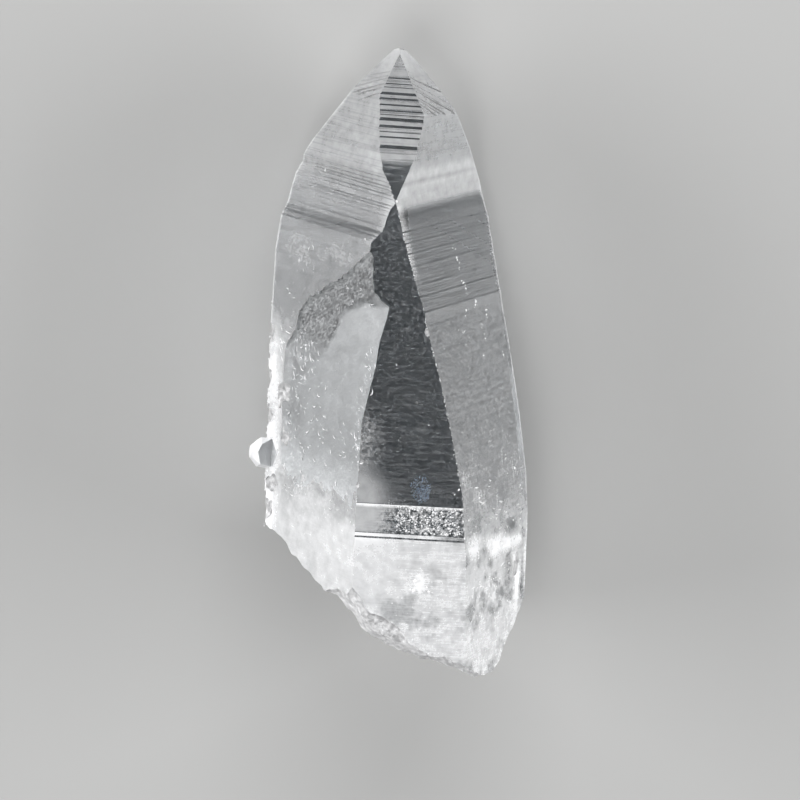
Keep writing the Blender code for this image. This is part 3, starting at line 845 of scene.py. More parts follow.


# Each amount is milk, gaps, flecks, bright lines and dark lines, from 0 to 1, and the last
# ones are left out where they are nothing. The milk is real cloudiness, and on the grown faces
# painted sheen too.
milkAndSheenAmounts = {
    # by face, on the way down: (depth, amounts), the first partly painted sheen for reflected light
    "faces": [
        [(0, 0.24, 0, 0, 0, 0.15), (4, 0.32, 0, 0, 0, 0.35), (19, 0.38, 0, 0, 0, 0.4),
         (19.01, 0, 0, 0.05, 0.04), (19.6, 0, 0, 0.06, 0.18), (22.4, 0, 0, 0.05, 0.12),
         (24, 0, 0, 0.02, 0.04), (26, 0, 0, 0.06, 0.06), (45, 0, 0, 0.08, 0.05),
         (60, 0, 0, 0.04, 0.08), (82.3, 0, 0, 0.03, 0.09), (82.31, 0.75, 0, 0.2, 0.1),
         (82.45, 0.75, 0, 0.2, 0.1), (82.46, 0.06, 0, 0.3, 0.2), (87.85, 0.08, 0, 0.34, 0.24),
         (88.01, 0.68, 0.1, 0.03, 0.08), (93, 0.62, 0.2, 0.05, 0.08, 0.1),
         (104, 0.6, 0.45, 0.06, 0.09, 0.1), (122, 0.6, 0.45, 0.08, 0.1)],
        [(0, 0.45), (2.6, 0.42), (4.5, 0.34, 0, 0, 0, 0.1), (12, 0.33, 0, 0, 0, 0.1),
         (18, 0.3, 0, 0, 0, 0.1), (20.2, 0.36), (21.2, 0.5), (22.2, 0.46), (22.8, 0.34),
         (23.7, 0.48), (24.6, 0.42), (26.8, 0.38), (28.3, 0.02, 0, 0, 0, 0.1),
         (31, 0.12, 0, 0, 0, 0.3), (46, 0.19, 0, 0.02, 0, 0.4), (46.2, 0.24, 0, 0, 0, 0.1),
         (47.7, 0.2, 0, 0, 0, 0.1), (48, 0.16, 0, 0.06, 0.05, 0.3),
         (70, 0.18, 0, 0.07, 0.05, 0.2), (84, 0.26, 0.3, 0.06, 0.05), (92, 0.47, 0.6, 0.05, 0.05),
         (100, 0.6, 0.6, 0.05, 0.05), (122, 0.62, 0.5, 0.08, 0.1)],
        [(0, 0.3), (20, 0.12, 0.3, 0, 0, 0.2), (80, 0.1, 0.4, 0.05, 0, 0.2),
         (100, 0.55, 0.5, 0.1, 0.1), (122, 0.7, 0.5, 0.1, 0.1)],
        [(0, 0.05), (20,), (80, 0, 0, 0, 0.02), (92, 0.4, 0.4, 0.1, 0.1),
         (122, 0.6, 0.5, 0.1, 0.1)],
        [(0, 0.05), (20,), (70, 0.05, 0, 0, 0.02), (85, 0.4, 0.4, 0.1, 0.05),
         (122, 0.6, 0.5, 0.1, 0.1)],
        [(0, 0.45), (2.6, 0.42), (4.5, 0.34, 0, 0, 0, 0.1), (14, 0.34, 0, 0, 0, 0.15),
         (22, 0.34, 0, 0, 0, 0.2), (27.5, 0.26, 0, 0, 0, 0.2), (31.3, 0.22, 0, 0, 0, 0.25),
         (33.5, 0.23, 0, 0, 0, 0.2), (50, 0.23, 0, 0.02, 0, 0.1), (66, 0.34, 0.2, 0.05),
         (84, 0.5, 0.3, 0.05), (92, 0.56, 0.1, 0, 0.03), (122, 0.58, 0.2, 0.05, 0.05)],
    ],
    # soft places: (face, across, depth, half width, half height, amounts added)
    "patches": [
        (5, -9, 38.5, 5.5, 3.6, 0.06, 0, 0.07), (5, 4, 37.5, 6, 3, 0.05, 0, 0.06),
        (0, -3.4, 71.5, 4, 8, 0.16, 0, 0.12), (0, 5.2, 86.9, 2.4, 1.6, -0.2, 0, -0.45, -0.3),
        (0, -2.2, 83, 6.2, 8.5, 0.34, 0, -0.5, -0.2), (0, 15.5, 88.4, 3.4, 0.8, -0.45, 0, 0.1),
        (0, 0, 95, 7, 8, 0.02, -0.4, -0.12, -0.2, -0.1), (0, 9, 97, 2.5, 3, 0.12, -0.5, 0.1, 0.1),
        (1, -4, 90.5, 4.5, 3, 0.35, -0.6, 0.1), (1, 6, 92, 5.5, 3, 0.4, -0.8, 0.1),
        (1, 14.5, 92.6, 5, 1.6, 0.35, -0.6, 0.1), (1, 3, 100, 1.4, 6, 0.5, -0.8),
        (1, 15.5, 100, 1.3, 7, 0.5, -0.8), (1, 20.5, 100, 1.2, 8, 0.4, -0.8),
        (1, 13.5, 89.5, 2, 2.2, -0.3, 0.2), (1, 6.4, 99, 1.7, 5, -0.32, 0.3, 0.1),
        (1, 9.3, 98.5, 0.9, 5.5, 0.45, -0.8), (1, 12.2, 99, 1.8, 5.5, -0.34, 0.3, 0.1),
        (1, 18.2, 100, 1.3, 6, -0.3, 0.2, 0.1), (1, -6, 77.5, 2.2, 2.2, 0.12, 0, 0.15),
        (1, 0, 82, 3, 2, 0.14, 0, 0.15), (5, -8, 70, 3.5, 9, -0.12, 0.3),
        (5, 12, 92, 12, 6, 0.05, -0.3, -0.08),
    ],
    # dark growth bands: what is left of the milk, by face, and for the wide and strong ones
    "lineShade": {0: 0.10, 1: 0.45, 5: 0.52}, "wideShade": 0.72, "strongShade": 0.16,
    "wideFrom": 1.5, "strongFrom": 0.24, "wideDark": 0.6,
    # the right-hand face has uneven bands: their usual strength and how much it wanders
    "unevenFace": 1, "usual": 0.75, "wander": 0.9,
    # where across a side face the dark lines fade in and out
    "lineFade": {0: (-2, -1, 2, 3), 1: (-0.2, -0.1, 1.1, 1.2), 5: (0.10, 0.32, 0.93, 1.02)},
    # frosted strips beside the front face: face, from, to, width, extra milk
    "strips": [(5, 17, 40, 4.5, 0.06), (1, 25.5, 41, 1.2, 0.26), (5, 24, 36, 1.3, 0.10)],
    "stripClear": 0.55, "patchFade": (0.35, 1.1),
    # bright rims along outer edges, a painted highlight: face, the face over the edge, from, to,
    # width, milk
    "rims": [(5, 4, 6, 58, 0.5, 0.62), (4, 5, 6, 58, 0.5, 0.5), (1, 2, 10, 96, 0.45, 0.55),
             (2, 1, 10, 96, 0.5, 0.5)],
    "wornEdge": {"faces": (4, 5), "top": 50, "full": 62, "width": 6.0, "clear": 0.2,
                 "milk": 0.84},
    # short dark line at the foot of the front face: depths, places across, amounts
    "dash": (88.60, 88.95, 5.0, 12.8), "dashAmount": (0.05, 0, 0.15),
    "side": (0.86, 0, 0.03), "broken": (0.68, 0, 0.30), "chip": (0.46, 0, 0.16),
    "groove": (0.31,),
    # milk of the scar: at its top, then (what is added, from depth, to depth)
    "arch": [0.35, (-0.05, 48, 66), (0.20, 72, 85)],
    "scarEdge": [0.19, (0.06, *scar["slabEnd"]), (0.24, 70, 84)],
    # the first: painted light, whiter just under the scar's top edge to lift the shade of its lip,
    # and the real chipped rim
    "scarRimLight": (0.10, 0.6, 2.0), "scarFlecks": (0.14, 0.04, 0.03), "lowerFrom": (66, 84),
    # how far outside the plain form the side crystal starts, and a chip over the break
    "outside": 0.12, "aboveBreak": 2.5,
}
# the dark bands above this depth are painted
bandEnd = 80
darkBands = {
    face: [band for top, _, steps in body["rows"][face] if steps and top < bandEnd
           for band in steps[1]]
    for face in (0, 1, 5)
}


def amounts(given):
    return [*given] + [0] * (5 - len(given))


def amountAt(rows, depth):
    if depth <= rows[0][0]:
        return amounts(rows[0][1:])
    for (top, *one), (low, *two) in zip(rows, rows[1:]):
        if depth <= low:
            share = (depth - top) / (low - top)
            return [a + share * (b - a) for a, b in zip(amounts(one), amounts(two))]
    return amounts(rows[-1][1:])


def bandShade(face, band, middle, across, share):
    # what one dark band leaves of the milk
    width = band[1] - band[0]
    shade = milkAndSheenAmounts["wideShade"] if width > milkAndSheenAmounts["wideFrom"] else milkAndSheenAmounts["lineShade"][face]
    low, full, fade, end = milkAndSheenAmounts["lineFade"][face]
    reach = smooth(low, full, share) * (1 - smooth(fade, end, share))
    if face == milkAndSheenAmounts["unevenFace"]:
        if width > milkAndSheenAmounts["strongFrom"]:
            shade = milkAndSheenAmounts["strongShade"]
        uneven = noise.noise(Vector((across * 0.16, middle * 2.3, 6.0)))
        reach *= milkAndSheenAmounts["usual"] + milkAndSheenAmounts["wander"] * uneven
    return 1 - (1 - shade) * reach


def grownMilkAndSheen(face, spot, middle, share, lines):
    depth, across = -spot.y, acrossOf(face).dot(spot)
    # the first amount, per face: real cloudiness and painted sheen for the light each face reflects
    amount = amountAt(milkAndSheenAmounts["faces"][face], depth)

    def nearTo(other, clear, width):
        # one at the edge with another face, nothing beyond the width
        gap = lineValue(lines[other], depth) - outwardOf(other).dot(spot)
        return 1 - smooth(clear * width, width, gap)

    for which, top, low, width, extra in milkAndSheenAmounts["strips"]:
        if which == face:
            shown = extra * nearTo(0, milkAndSheenAmounts["stripClear"], width) * smooth(top, top + 2, depth)
            amount[0] += shown * (1 - smooth(low - 3, low, depth))
    for which, place, down, wide, tall, *extra in milkAndSheenAmounts["patches"]:
        if which == face:
            far = math.hypot((across - place) / wide, (depth - down) / tall)
            weight = 1 - smooth(*milkAndSheenAmounts["patchFade"], far)
            amount = [a + weight * b for a, b in zip(amount, amounts(extra))]
    for band in darkBands.get(face, []):
        if band[0] < middle < band[1]:
            amount[0] *= bandShade(face, band, middle, across, share)
            amount[4] = milkAndSheenAmounts["wideDark"] if band[1] - band[0] > milkAndSheenAmounts["wideFrom"] else 0.0
    # painted highlight: whiter in a thin rim along the outer edges
    for which, other, top, low, width, milk in milkAndSheenAmounts["rims"]:
        if which == face and top < depth < low:
            near = nearTo(other, 0.0, width) * smooth(top, top + 5, depth)
            amount[0] += (milk - amount[0]) * near
    worn = milkAndSheenAmounts["wornEdge"]
    if face in worn["faces"]:
        near = nearTo(9 - face, worn["clear"], worn["width"])
        amount[0] += (worn["milk"] - amount[0]) * near * smooth(worn["top"], worn["full"], depth)
    start, end, left, right = milkAndSheenAmounts["dash"]
    if face == 0 and start < middle < end and left < across < right:
        amount = amounts(milkAndSheenAmounts["dashAmount"])
    return amount


def ramped(steps, depth):
    value = steps[0]
    for added, top, low in steps[1:]:
        value += added * smooth(top, low, depth)
    return value


def scarMilkAndSheen(across, depth):
    inside = scarParts(across, depth)[1]
    slab = (1 - inside) * (1 - smooth(*scar["slabEnd"], depth))
    edge = ramped(milkAndSheenAmounts["scarEdge"], depth)
    milk = edge + (ramped(milkAndSheenAmounts["arch"], depth) - edge) * inside
    # painted light just under the top edge, over the shade of the lip, and the real chipped rim
    rim, start, end = milkAndSheenAmounts["scarRimLight"]
    milk += rim * slab * (1 - smooth(start, end, depth - lineValue(scar["top"], across)))
    rough, satin, lower = milkAndSheenAmounts["scarFlecks"]
    flecks = rough * slab + satin * (1 - slab) + lower * smooth(*milkAndSheenAmounts["lowerFrom"], depth)
    return amounts((milk, 0, flecks))


def paintMilkAndSheen(mesh, lines):
    # one amount for every face corner, so it can change sharply at an edge
    values = [0.0] * (3 * len(mesh.loops)), [0.0] * (3 * len(mesh.loops))
    spots = [vert.co.copy() for vert in mesh.vertices]
    outs, along = [outwardOf(face) for face in range(6)], acrossOf(5)
    for polygon in mesh.polygons:
        centre, finish = polygon.center, finishOrder[polygon.material_index]
        distances = [lineValue(line, -centre.y) for line in lines]
        gaps = [distances[face] - outs[face].dot(centre) for face in range(6)]
        face = min(range(6), key=lambda one: abs(gaps[one]))
        corners = cornerSpots(distances, -centre.y)
        left, right = corners[(face - 1) % 6], corners[face]
        share = (centre - left).dot(right - left) / max(1e-6, (right - left).length_squared)
        for loop in polygon.loop_indices:
            spot = spots[mesh.loops[loop].vertex_index]
            if finish == "scar":
                amount = scarMilkAndSheen(along.dot(spot), -spot.y)
            elif finish != "grown":
                over = breakDepth(spot.x, spot.z) - milkAndSheenAmounts["aboveBreak"]
                chip = finish == "broken" and -spot.y < over
                amount = amounts(milkAndSheenAmounts["chip" if chip else finish])
            elif min(gaps) < -milkAndSheenAmounts["outside"]:
                amount = amounts(milkAndSheenAmounts["side"])
            else:
                amount = grownMilkAndSheen(face, spot, -centre.y, share, lines)
            amount = [max(0.0, value) for value in amount]
            values[0][3 * loop:3 * loop + 3] = amount[:3]
            values[1][3 * loop:3 * loop + 2] = amount[3:]
    for name, painted in zip(("milk", "growth"), values):
        mesh.attributes.new(name, "FLOAT_VECTOR", "CORNER")
        mesh.attributes[name].data.foreach_set("vector", painted)


def finishBody(shape):
    paintMilkAndSheen(shape.data, grownLines)
    bm = bmesh.new()
    bm.from_mesh(shape.data)
    crease = math.radians(body["crease"])
    for face in bm.faces:
        face.smooth = True
    for edge in bm.edges:
        edge.smooth = len(edge.link_faces) == 2 and edge.calc_face_angle(3) < crease
    loose = sum(1 for edge in bm.edges if len(edge.link_faces) != 2)
    bmesh.ops.transform(bm, matrix=layDown, verts=bm.verts)
    bm.to_mesh(shape.data)
    print("crystal body", len(bm.faces), "faces,", loose, "open edges, volume cm3",
          round(bm.calc_volume() * 1e6, 2), [m.name for m in shape.data.materials])
    bm.free()
    return shape


stepChance = random.Random(body["seed"])
grownLines = [steppedLine(rows, stepChance) for rows in body["rows"]]
finishOrder = ("grown", "broken", "scar", "groove")
finishes = {name: quartzFinish(name + "Quartz", looks[name]) for name in finishOrder}
crystal = finishBody(carveBody(grownBody(body, grownLines, stepChance), finishes))
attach(crystal, "root")
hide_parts("quartz_crystal")
print("crystal body made")


# healed cracks inside, laid out as sheets and strewn with tiny shards
offAxis = layDown.inverted()
finishedSkin = treeOver(crystal.data, [offAxis @ vert.co for vert in crystal.data.vertices])


def roomAt(spot):
    # how far a place lies under the finished surface, less than zero outside it
    near, normal, _, _ = finishedSkin.find_nearest(spot)
    return (near - spot).dot(normal)


inner = {
    # a sheet is a waved grid with an uneven outline (depth and spacing of its fringe),
    # and stays this far under the surface
    "steps": 12, "wave": 1.4, "fringe": (0.35, 1.8), "margin": 0.5,
    # width of a shard for its length, and how its tone varies
    "slim": 0.55, "toneScale": 0.8, "toneFall": 0.8,
    # what every small shape is sized by, and any turn on the face, a little over one round
    "sizes": ("Radius", "Slim", "Thickness"), "anyTurn": (0, 6.3),
    # how near the finished surface a crescent or a speck has to lie
    "nearSkin": 0.15,
}


def innerSheet(name, places, rough):
    # each place is (right, depth, front), the way the sheet looks, and its two half sizes
    bm = bmesh.new()
    steps, wave, (deep, often) = inner["steps"], inner["wave"], inner["fringe"]
    for number, ((right, depth, front), facing, wide, tall) in enumerate(places):
        middle = Vector((right, -depth, front))
        out = Vector(facing).normalized()
        side = out.cross(Vector((0.1, 1, 0.2))).normalized()
        up = side.cross(out)
        grid = []
        for i in range(steps + 1):
            row = []
            for j in range(steps + 1):
                u, v = 2 * i / steps - 1, 2 * j / steps - 1
                lift = noise.noise(Vector((u * wave, v * wave, number * 5.3)))
                lift = lift * rough * max(wide, tall)
                spot = middle + side * u * wide + up * v * tall + out * lift
                fringe = noise.noise(Vector((u * often, v * often, number * 2.9 + 40)))
                inside = u * u + v * v < 1 + deep * fringe and roomAt(spot) > inner["margin"]
                row.append(bm.verts.new(spot) if inside else None)
            grid.append(row)
        for i in range(steps):
            for j in range(steps):
                quad = (grid[i][j], grid[i + 1][j], grid[i + 1][j + 1], grid[i][j + 1])
                if all(quad):
                    bm.faces.new(quad)
    mesh = bpy.data.meshes.new(name)
    bm.to_mesh(mesh)
    bm.free()
    return newObject(name, mesh)


def openTree(name, values):
    # a tree that takes places, some values and a finish, and gives shapes back
    tree = bpy.data.node_groups.new(name, "GeometryNodeTree")
    sockets = {}
    for key, kind in [("Places", "Geometry"), *values, ("Finish", "Material")]:
        made = tree.interface.new_socket(name=key, in_out="INPUT", socket_type="NodeSocket" + kind)
        sockets[key] = made.identifier
    tree.interface.new_socket(name="Shapes", in_out="OUTPUT", socket_type="NodeSocketGeometry")
    return tree, sockets, tree.nodes.new("NodeGroupInput").outputs


def closeTree(tree, points, shape, turn, scale, finish):
    # the shape on every point, made real and given its finish
    placed = addNode(tree, "GeometryNodeInstanceOnPoints", {
        "Points": points, "Instance": shape, "Rotation": turn, "Scale": scale})
    real = addNode(tree, "GeometryNodeRealizeInstances", {"Geometry": placed.outputs[0]})
    done = addNode(tree, "GeometryNodeSetMaterial", {
        "Geometry": real.outputs[0], "Material": finish})
    tree.links.new(done.outputs[0], tree.nodes.new("NodeGroupOutput").inputs[0])


def grit(tree):
    # the small plain body that shards and specks are scaled from
    return addNode(tree, "GeometryNodeMeshIcoSphere",
                   {"Radius": 1.0, "Subdivisions": 1}).outputs["Mesh"]


def shardTree():
    # shards strewn over a sheet, each turned and sized at random
    numbers = [(key, "Float") for key in ("Density", "Radius", "Spread", "Thickness", "Tilt")]
    tree, sockets, given = openTree("strewShards", numbers + [("Seed", "Int")])
    points = addNode(tree, "GeometryNodeDistributePointsOnFaces", {
        "Mesh": given["Places"], "Density": given["Density"], "Seed": given["Seed"]}).outputs
    most = addNode(tree, "ShaderNodeCombineXYZ", {
        "X": given["Tilt"], "Y": given["Tilt"], "Z": math.pi}).outputs[0]
    least = addNode(tree, "ShaderNodeVectorMath", {0: most, 1: (-1, -1, -1)},
                    operation="MULTIPLY").outputs[0]
    turn = addNode(tree, "FunctionNodeRandomValue", {
        0: least, 1: most, "Seed": given["Seed"]}, data_type="FLOAT_VECTOR").outputs[0]
    euler = addNode(tree, "FunctionNodeEulerToRotation", {0: turn}).outputs[0]
    spin = addNode(tree, "FunctionNodeRotateRotation", {
        "Rotation": points["Rotation"], "Rotate By": euler}, rotation_space="LOCAL")
    size = addNode(tree, "FunctionNodeRandomValue", {
        2: math2(tree, "SUBTRACT", 1.0, given["Spread"]),
        3: math2(tree, "ADD", 1.0, given["Spread"])}, data_type="FLOAT").outputs[1]
    length = math2(tree, "MULTIPLY", size, given["Radius"])
    scale = addNode(tree, "ShaderNodeCombineXYZ", {
        "X": length, "Y": math2(tree, "MULTIPLY", length, inner["slim"]),
        "Z": given["Thickness"]})
    closeTree(tree, points["Points"], grit(tree), spin.outputs[0], scale.outputs[0],
              given["Finish"])
    return tree, sockets


def placedTree(name, crescent):
    # one small shape on every given point, by the turn and size stored there
    tree, sockets, given = openTree(name, [(key, "Float") for key in inner["sizes"]])

    def times(one, two):
        return math2(tree, "MULTIPLY", one, two)

    def stored(key, kind):
        return addNode(tree, "GeometryNodeInputNamedAttribute", {"Name": key},
                       data_type=kind).outputs["Attribute"]

    if crescent:
        # a bent bar that is widest in the middle of its arc
        arc = addNode(tree, "GeometryNodeCurveArc", {
            "Resolution": 7, "Radius": 1.0, "Start Angle": 0.0,
            "Sweep Angle": crescents["sweep"]}, mode="RADIUS")
        along = tree.nodes.new("GeometryNodeSplineParameter").outputs["Factor"]
        apart = math2(tree, "ABSOLUTE", math2(tree, "SUBTRACT", times(along, 2.0), 1.0), 0.0)
        middle = math2(tree, "SUBTRACT", 1.0, apart)
        width = math2(tree, "ADD", times(middle, crescents["widest"]), crescents["endWidth"])
        profile = addNode(tree, "GeometryNodeCurvePrimitiveCircle",
                          {"Resolution": 4, "Radius": 1.0})
        shape = addNode(tree, "GeometryNodeCurveToMesh", {
            "Curve": arc.outputs["Curve"], "Profile Curve": profile.outputs["Curve"],
            "Scale": width, "Fill Caps": True}).outputs["Mesh"]
    else:
        shape = grit(tree)
    euler = addNode(tree, "FunctionNodeEulerToRotation", {0: stored("turn", "FLOAT_VECTOR")})
    wide = times(stored("size", "FLOAT"), given["Radius"])
    scale = addNode(tree, "ShaderNodeCombineXYZ", {
        "X": wide, "Y": times(wide, given["Slim"]), "Z": times(wide, given["Thickness"])})
    closeTree(tree, given["Places"], shape, euler.outputs[0], scale.outputs[0], given["Finish"])
    return tree, sockets


def strew(sheet, name, tree, sockets, settings):
    step = sheet.modifiers.new(name, "NODES")
    step.node_group = tree
    for key, value in settings.items():
        step[sockets[key]] = value
    plainMesh(sheet, name)
    sheet.name = name
    sheet.data.transform(layDown)
    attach(sheet, "root")
    print(name, len(sheet.data.polygons), "faces")


def shardFinish(name, tone, roughness, transmission):
    # pale and slightly uneven in tone
    material = bpy.data.materials.new(name)
    material.use_nodes = True
    tree = material.node_tree
    shader = tree.nodes["Principled BSDF"]
    shader.inputs["Roughness"].default_value = roughness
    shader.inputs["Transmission Weight"].default_value = transmission
    uneven = addNode(tree, "ShaderNodeTexNoise", {
        "Vector": crystalCoords(tree), "Scale": inner["toneScale"], "Detail": 3.0})
    ramp = addNode(tree, "ShaderNodeValToRGB", {"Fac": uneven.outputs["Fac"]})
    darkStop, lightStop = ramp.color_ramp.elements
    darkStop.color = [value * inner["toneFall"] for value in tone[:3]] + [1]
    lightStop.color = tone
    tree.links.new(ramp.outputs["Color"], shader.inputs["Base Color"])
    return material


def pointObject(name, places):
    # every place is (spot, turn, size)
    mesh = bpy.data.meshes.new(name)
    mesh.from_pydata([spot for spot, _, _ in places], [], [])
    turns = mesh.attributes.new("turn", "FLOAT_VECTOR", "POINT")
    turns.data.foreach_set("vector", [value for _, turn, _ in places for value in turn])
    sizes = mesh.attributes.new("size", "FLOAT", "POINT")
    sizes.data.foreach_set("value", [size for _, _, size in places])
    return newObject(name, mesh)


def turnOn(face, spin, lean=0.0):
    # laid flat on a face, spun on it and leant a little
    flat = Matrix((acrossOf(face), Vector((0, 1, 0)), outwardOf(face))).transposed()
    return (flat @ Matrix.Rotation(spin, 3, "Z") @ Matrix.Rotation(lean, 3, "X")).to_euler()


def skinSpot(face, across, depth, under=0.0):
    # place on the grown surface, its growth steps included
    spot = outwardOf(face) * (lineValue(grownLines[face], depth) - under)
    spot += acrossOf(face) * across
    return Vector((spot.x, -depth, spot.z))


milkyVeils = {
    "seed": 23, "count": 26,
    # (from, to) for right, depth and front, and for the way a sheet looks
    "box": ((-14, 28), (86, 114), (-14, 18)), "facing": ((-0.6, 0.6), (-0.9, 0.9), (0.2, 1.0)),
    "size": (3.5, 8.5), "shape": (0.5, 1.0),
    "rough": 0.25, "finish": ("milkyVeil", (0.97, 0.98, 1.0, 1), 0.35, 0.3),
    "shards": {"Density": 5.5, "Radius": 0.19, "Spread": 0.7, "Thickness": 0.02, "Tilt": 0.5,
               "Seed": 3},
}


def veilPlaces(milkyVeils):
    chance = random.Random(milkyVeils["seed"])
    places = []
    for _ in range(milkyVeils["count"]):
        spot = [chance.uniform(*ends) for ends in milkyVeils["box"]]
        facing = [chance.uniform(*ends) for ends in milkyVeils["facing"]]
        size = chance.uniform(*milkyVeils["size"])
        places.append((spot, facing, size, size * chance.uniform(*milkyVeils["shape"])))
    return places


silveryCracks = {
    "seed": 24, "lean": (-0.35, 0.35),
    # (face, across, depth, how far under, half width, half height)
    "places": [
        (1, -3.0, 91.5, 2.0, 3.2, 2.2), (1, 3.5, 91.0, 2.4, 3.0, 1.8), (1, 9.0, 90.5, 1.8, 3.4, 2.0),
        (1, 13.5, 87.5, 1.4, 2.4, 1.0), (1, 3.0, 99.5, 1.2, 0.8, 5.5), (1, 15.5, 100, 1.0, 0.8, 6.0),
        (1, 19.5, 101, 0.9, 0.6, 6.0), (1, 8.0, 95.5, 1.5, 2.6, 0.6), (0, 9.0, 97.0, 1.5, 2.6, 1.6),
        (0, 14.0, 100.0, 2.0, 2.0, 1.0), (0, 6.0, 92.5, 1.2, 3.5, 0.5),
        (5, -12.0, 57.0, 2.2, 2.0, 1.2), (5, -9.5, 54.5, 2.0, 0.8, 1.8),
        (5, -12.5, 61.5, 2.4, 1.0, 2.4), (5, -9.0, 60.0, 2.2, 1.6, 0.5),
        (1, -6.0, 77.5, 0.6, 2.4, 0.8), (1, -0.5, 82.0, 0.6, 3.0, 0.9),
        (1, 6.0, 86.5, 0.7, 3.0, 0.9), (1, 16.0, 79.5, 1.0, 0.5, 2.6),
        (1, 12.0, 76.0, 1.2, 0.4, 2.0), (1, 8.0, 83.5, 1.2, 0.4, 2.4),
    ],
    "rough": 0.12, "finish": ("silveryCrack", (0.98, 0.99, 1.0, 1), 0.15, 0.1),
    "shards": {"Density": 16.0, "Radius": 0.19, "Spread": 0.6, "Thickness": 0.02, "Tilt": 0.35,
               "Seed": 5},
}


def crackPlaces(silveryCracks):
    chance = random.Random(silveryCracks["seed"])
    places = []
    for face, across, depth, under, wide, tall in silveryCracks["places"]:
        spot = skinSpot(face, across, depth, under)
        lean = Vector([chance.uniform(*silveryCracks["lean"]) for _ in range(3)])
        places.append(((spot.x, depth, spot.z), outwardOf(face) + lean, wide, tall))
    return places


bluishCloud = {
    # ((right, depth, front), the way the sheet looks, half width, half height)
    "places": [
        ((9.8, 81.6, 12.5), (0.1, 0.2, 1), 0.9, 1.4), ((9.4, 81.0, 12.0), (0.1, 0.3, 1), 1.5, 2.0),
        ((9.0, 80.4, 11.5), (0.2, 0.2, 1), 2.2, 2.9),
    ],
    "rough": 0.4, "finish": ("bluishCloud", (0.70, 0.82, 1.0, 1), 0.4, 0.2),
    "shards": {"Density": 13.0, "Radius": 0.16, "Spread": 0.6, "Thickness": 0.03, "Tilt": 0.9,
               "Seed": 6},
}
crescents = {
    "seed": 5, "Radius": 1.0, "Slim": 1.0, "Thickness": 0.5,
    # arc in radians, width in its middle and at its ends
    "sweep": 2.0, "widest": 0.16, "endWidth": 0.02,
    "curve": 2, "spin": (3.6, 0.9), "lean": (-0.3, 0.3),
    # how far below the top edge of the scar they start, and above it they end
    "below": 0.5, "above": 0.8, "under": 0.03,
    # in the scar: (across from, to, depth from, to, how many, smallest, largest)
    "groups": [(-10.5, -1, 55, 86, 190, 0.25, 1.0), (-1, 13, 62, 86, 110, 0.2, 0.85),
               (-13.5, -2, 53, 64, 46, 0.3, 1.15), (11, 16, 48, 62, 22, 0.25, 0.8),
               (12.6, 15.0, 54, 74, 60, 0.3, 1.1),
               (3, 8, 57, 61, 8, 0.3, 0.7), (4, 13, 42, 46, 16, 0.25, 0.7)],
    # on the plain face above it
    "plain": [(-13, -4, 35, 44, 22, 0.25, 0.8), (-14, -6, 44, 54, 18, 0.2, 0.7)],
}


def crescentPlaces(crescents):
    chance = random.Random(crescents["seed"])
    places = []

    def sized(small, large):
        return small + (large - small) * chance.random() ** crescents["curve"]

    for left, right, top, low, count, *ends in crescents["groups"]:
        for _ in range(count):
            across, depth = chance.uniform(left, right), chance.uniform(top, low)
            size = sized(*ends)
            if depth > lineValue(scar["top"], across) + crescents["below"]:
                spin, lean = chance.gauss(*crescents["spin"]), chance.uniform(*crescents["lean"])
                spot = faceSpot(5, across, depth, scarParts(across, depth)[0])
                if abs(roomAt(spot)) < inner["nearSkin"]:
                    places.append((spot, turnOn(5, spin, lean), size))
    for left, right, top, low, count, *ends in crescents["plain"]:
        for _ in range(count):
            across, depth = chance.uniform(left, right), chance.uniform(top, low)
            if depth < lineValue(scar["top"], across) - crescents["above"]:
                size, turn = sized(*ends), turnOn(5, chance.uniform(*inner["anyTurn"]))
                spot = skinSpot(5, across, depth, crescents["under"])
                if abs(roomAt(spot)) < inner["nearSkin"]:
                    places.append((spot, turn, size))
    return places


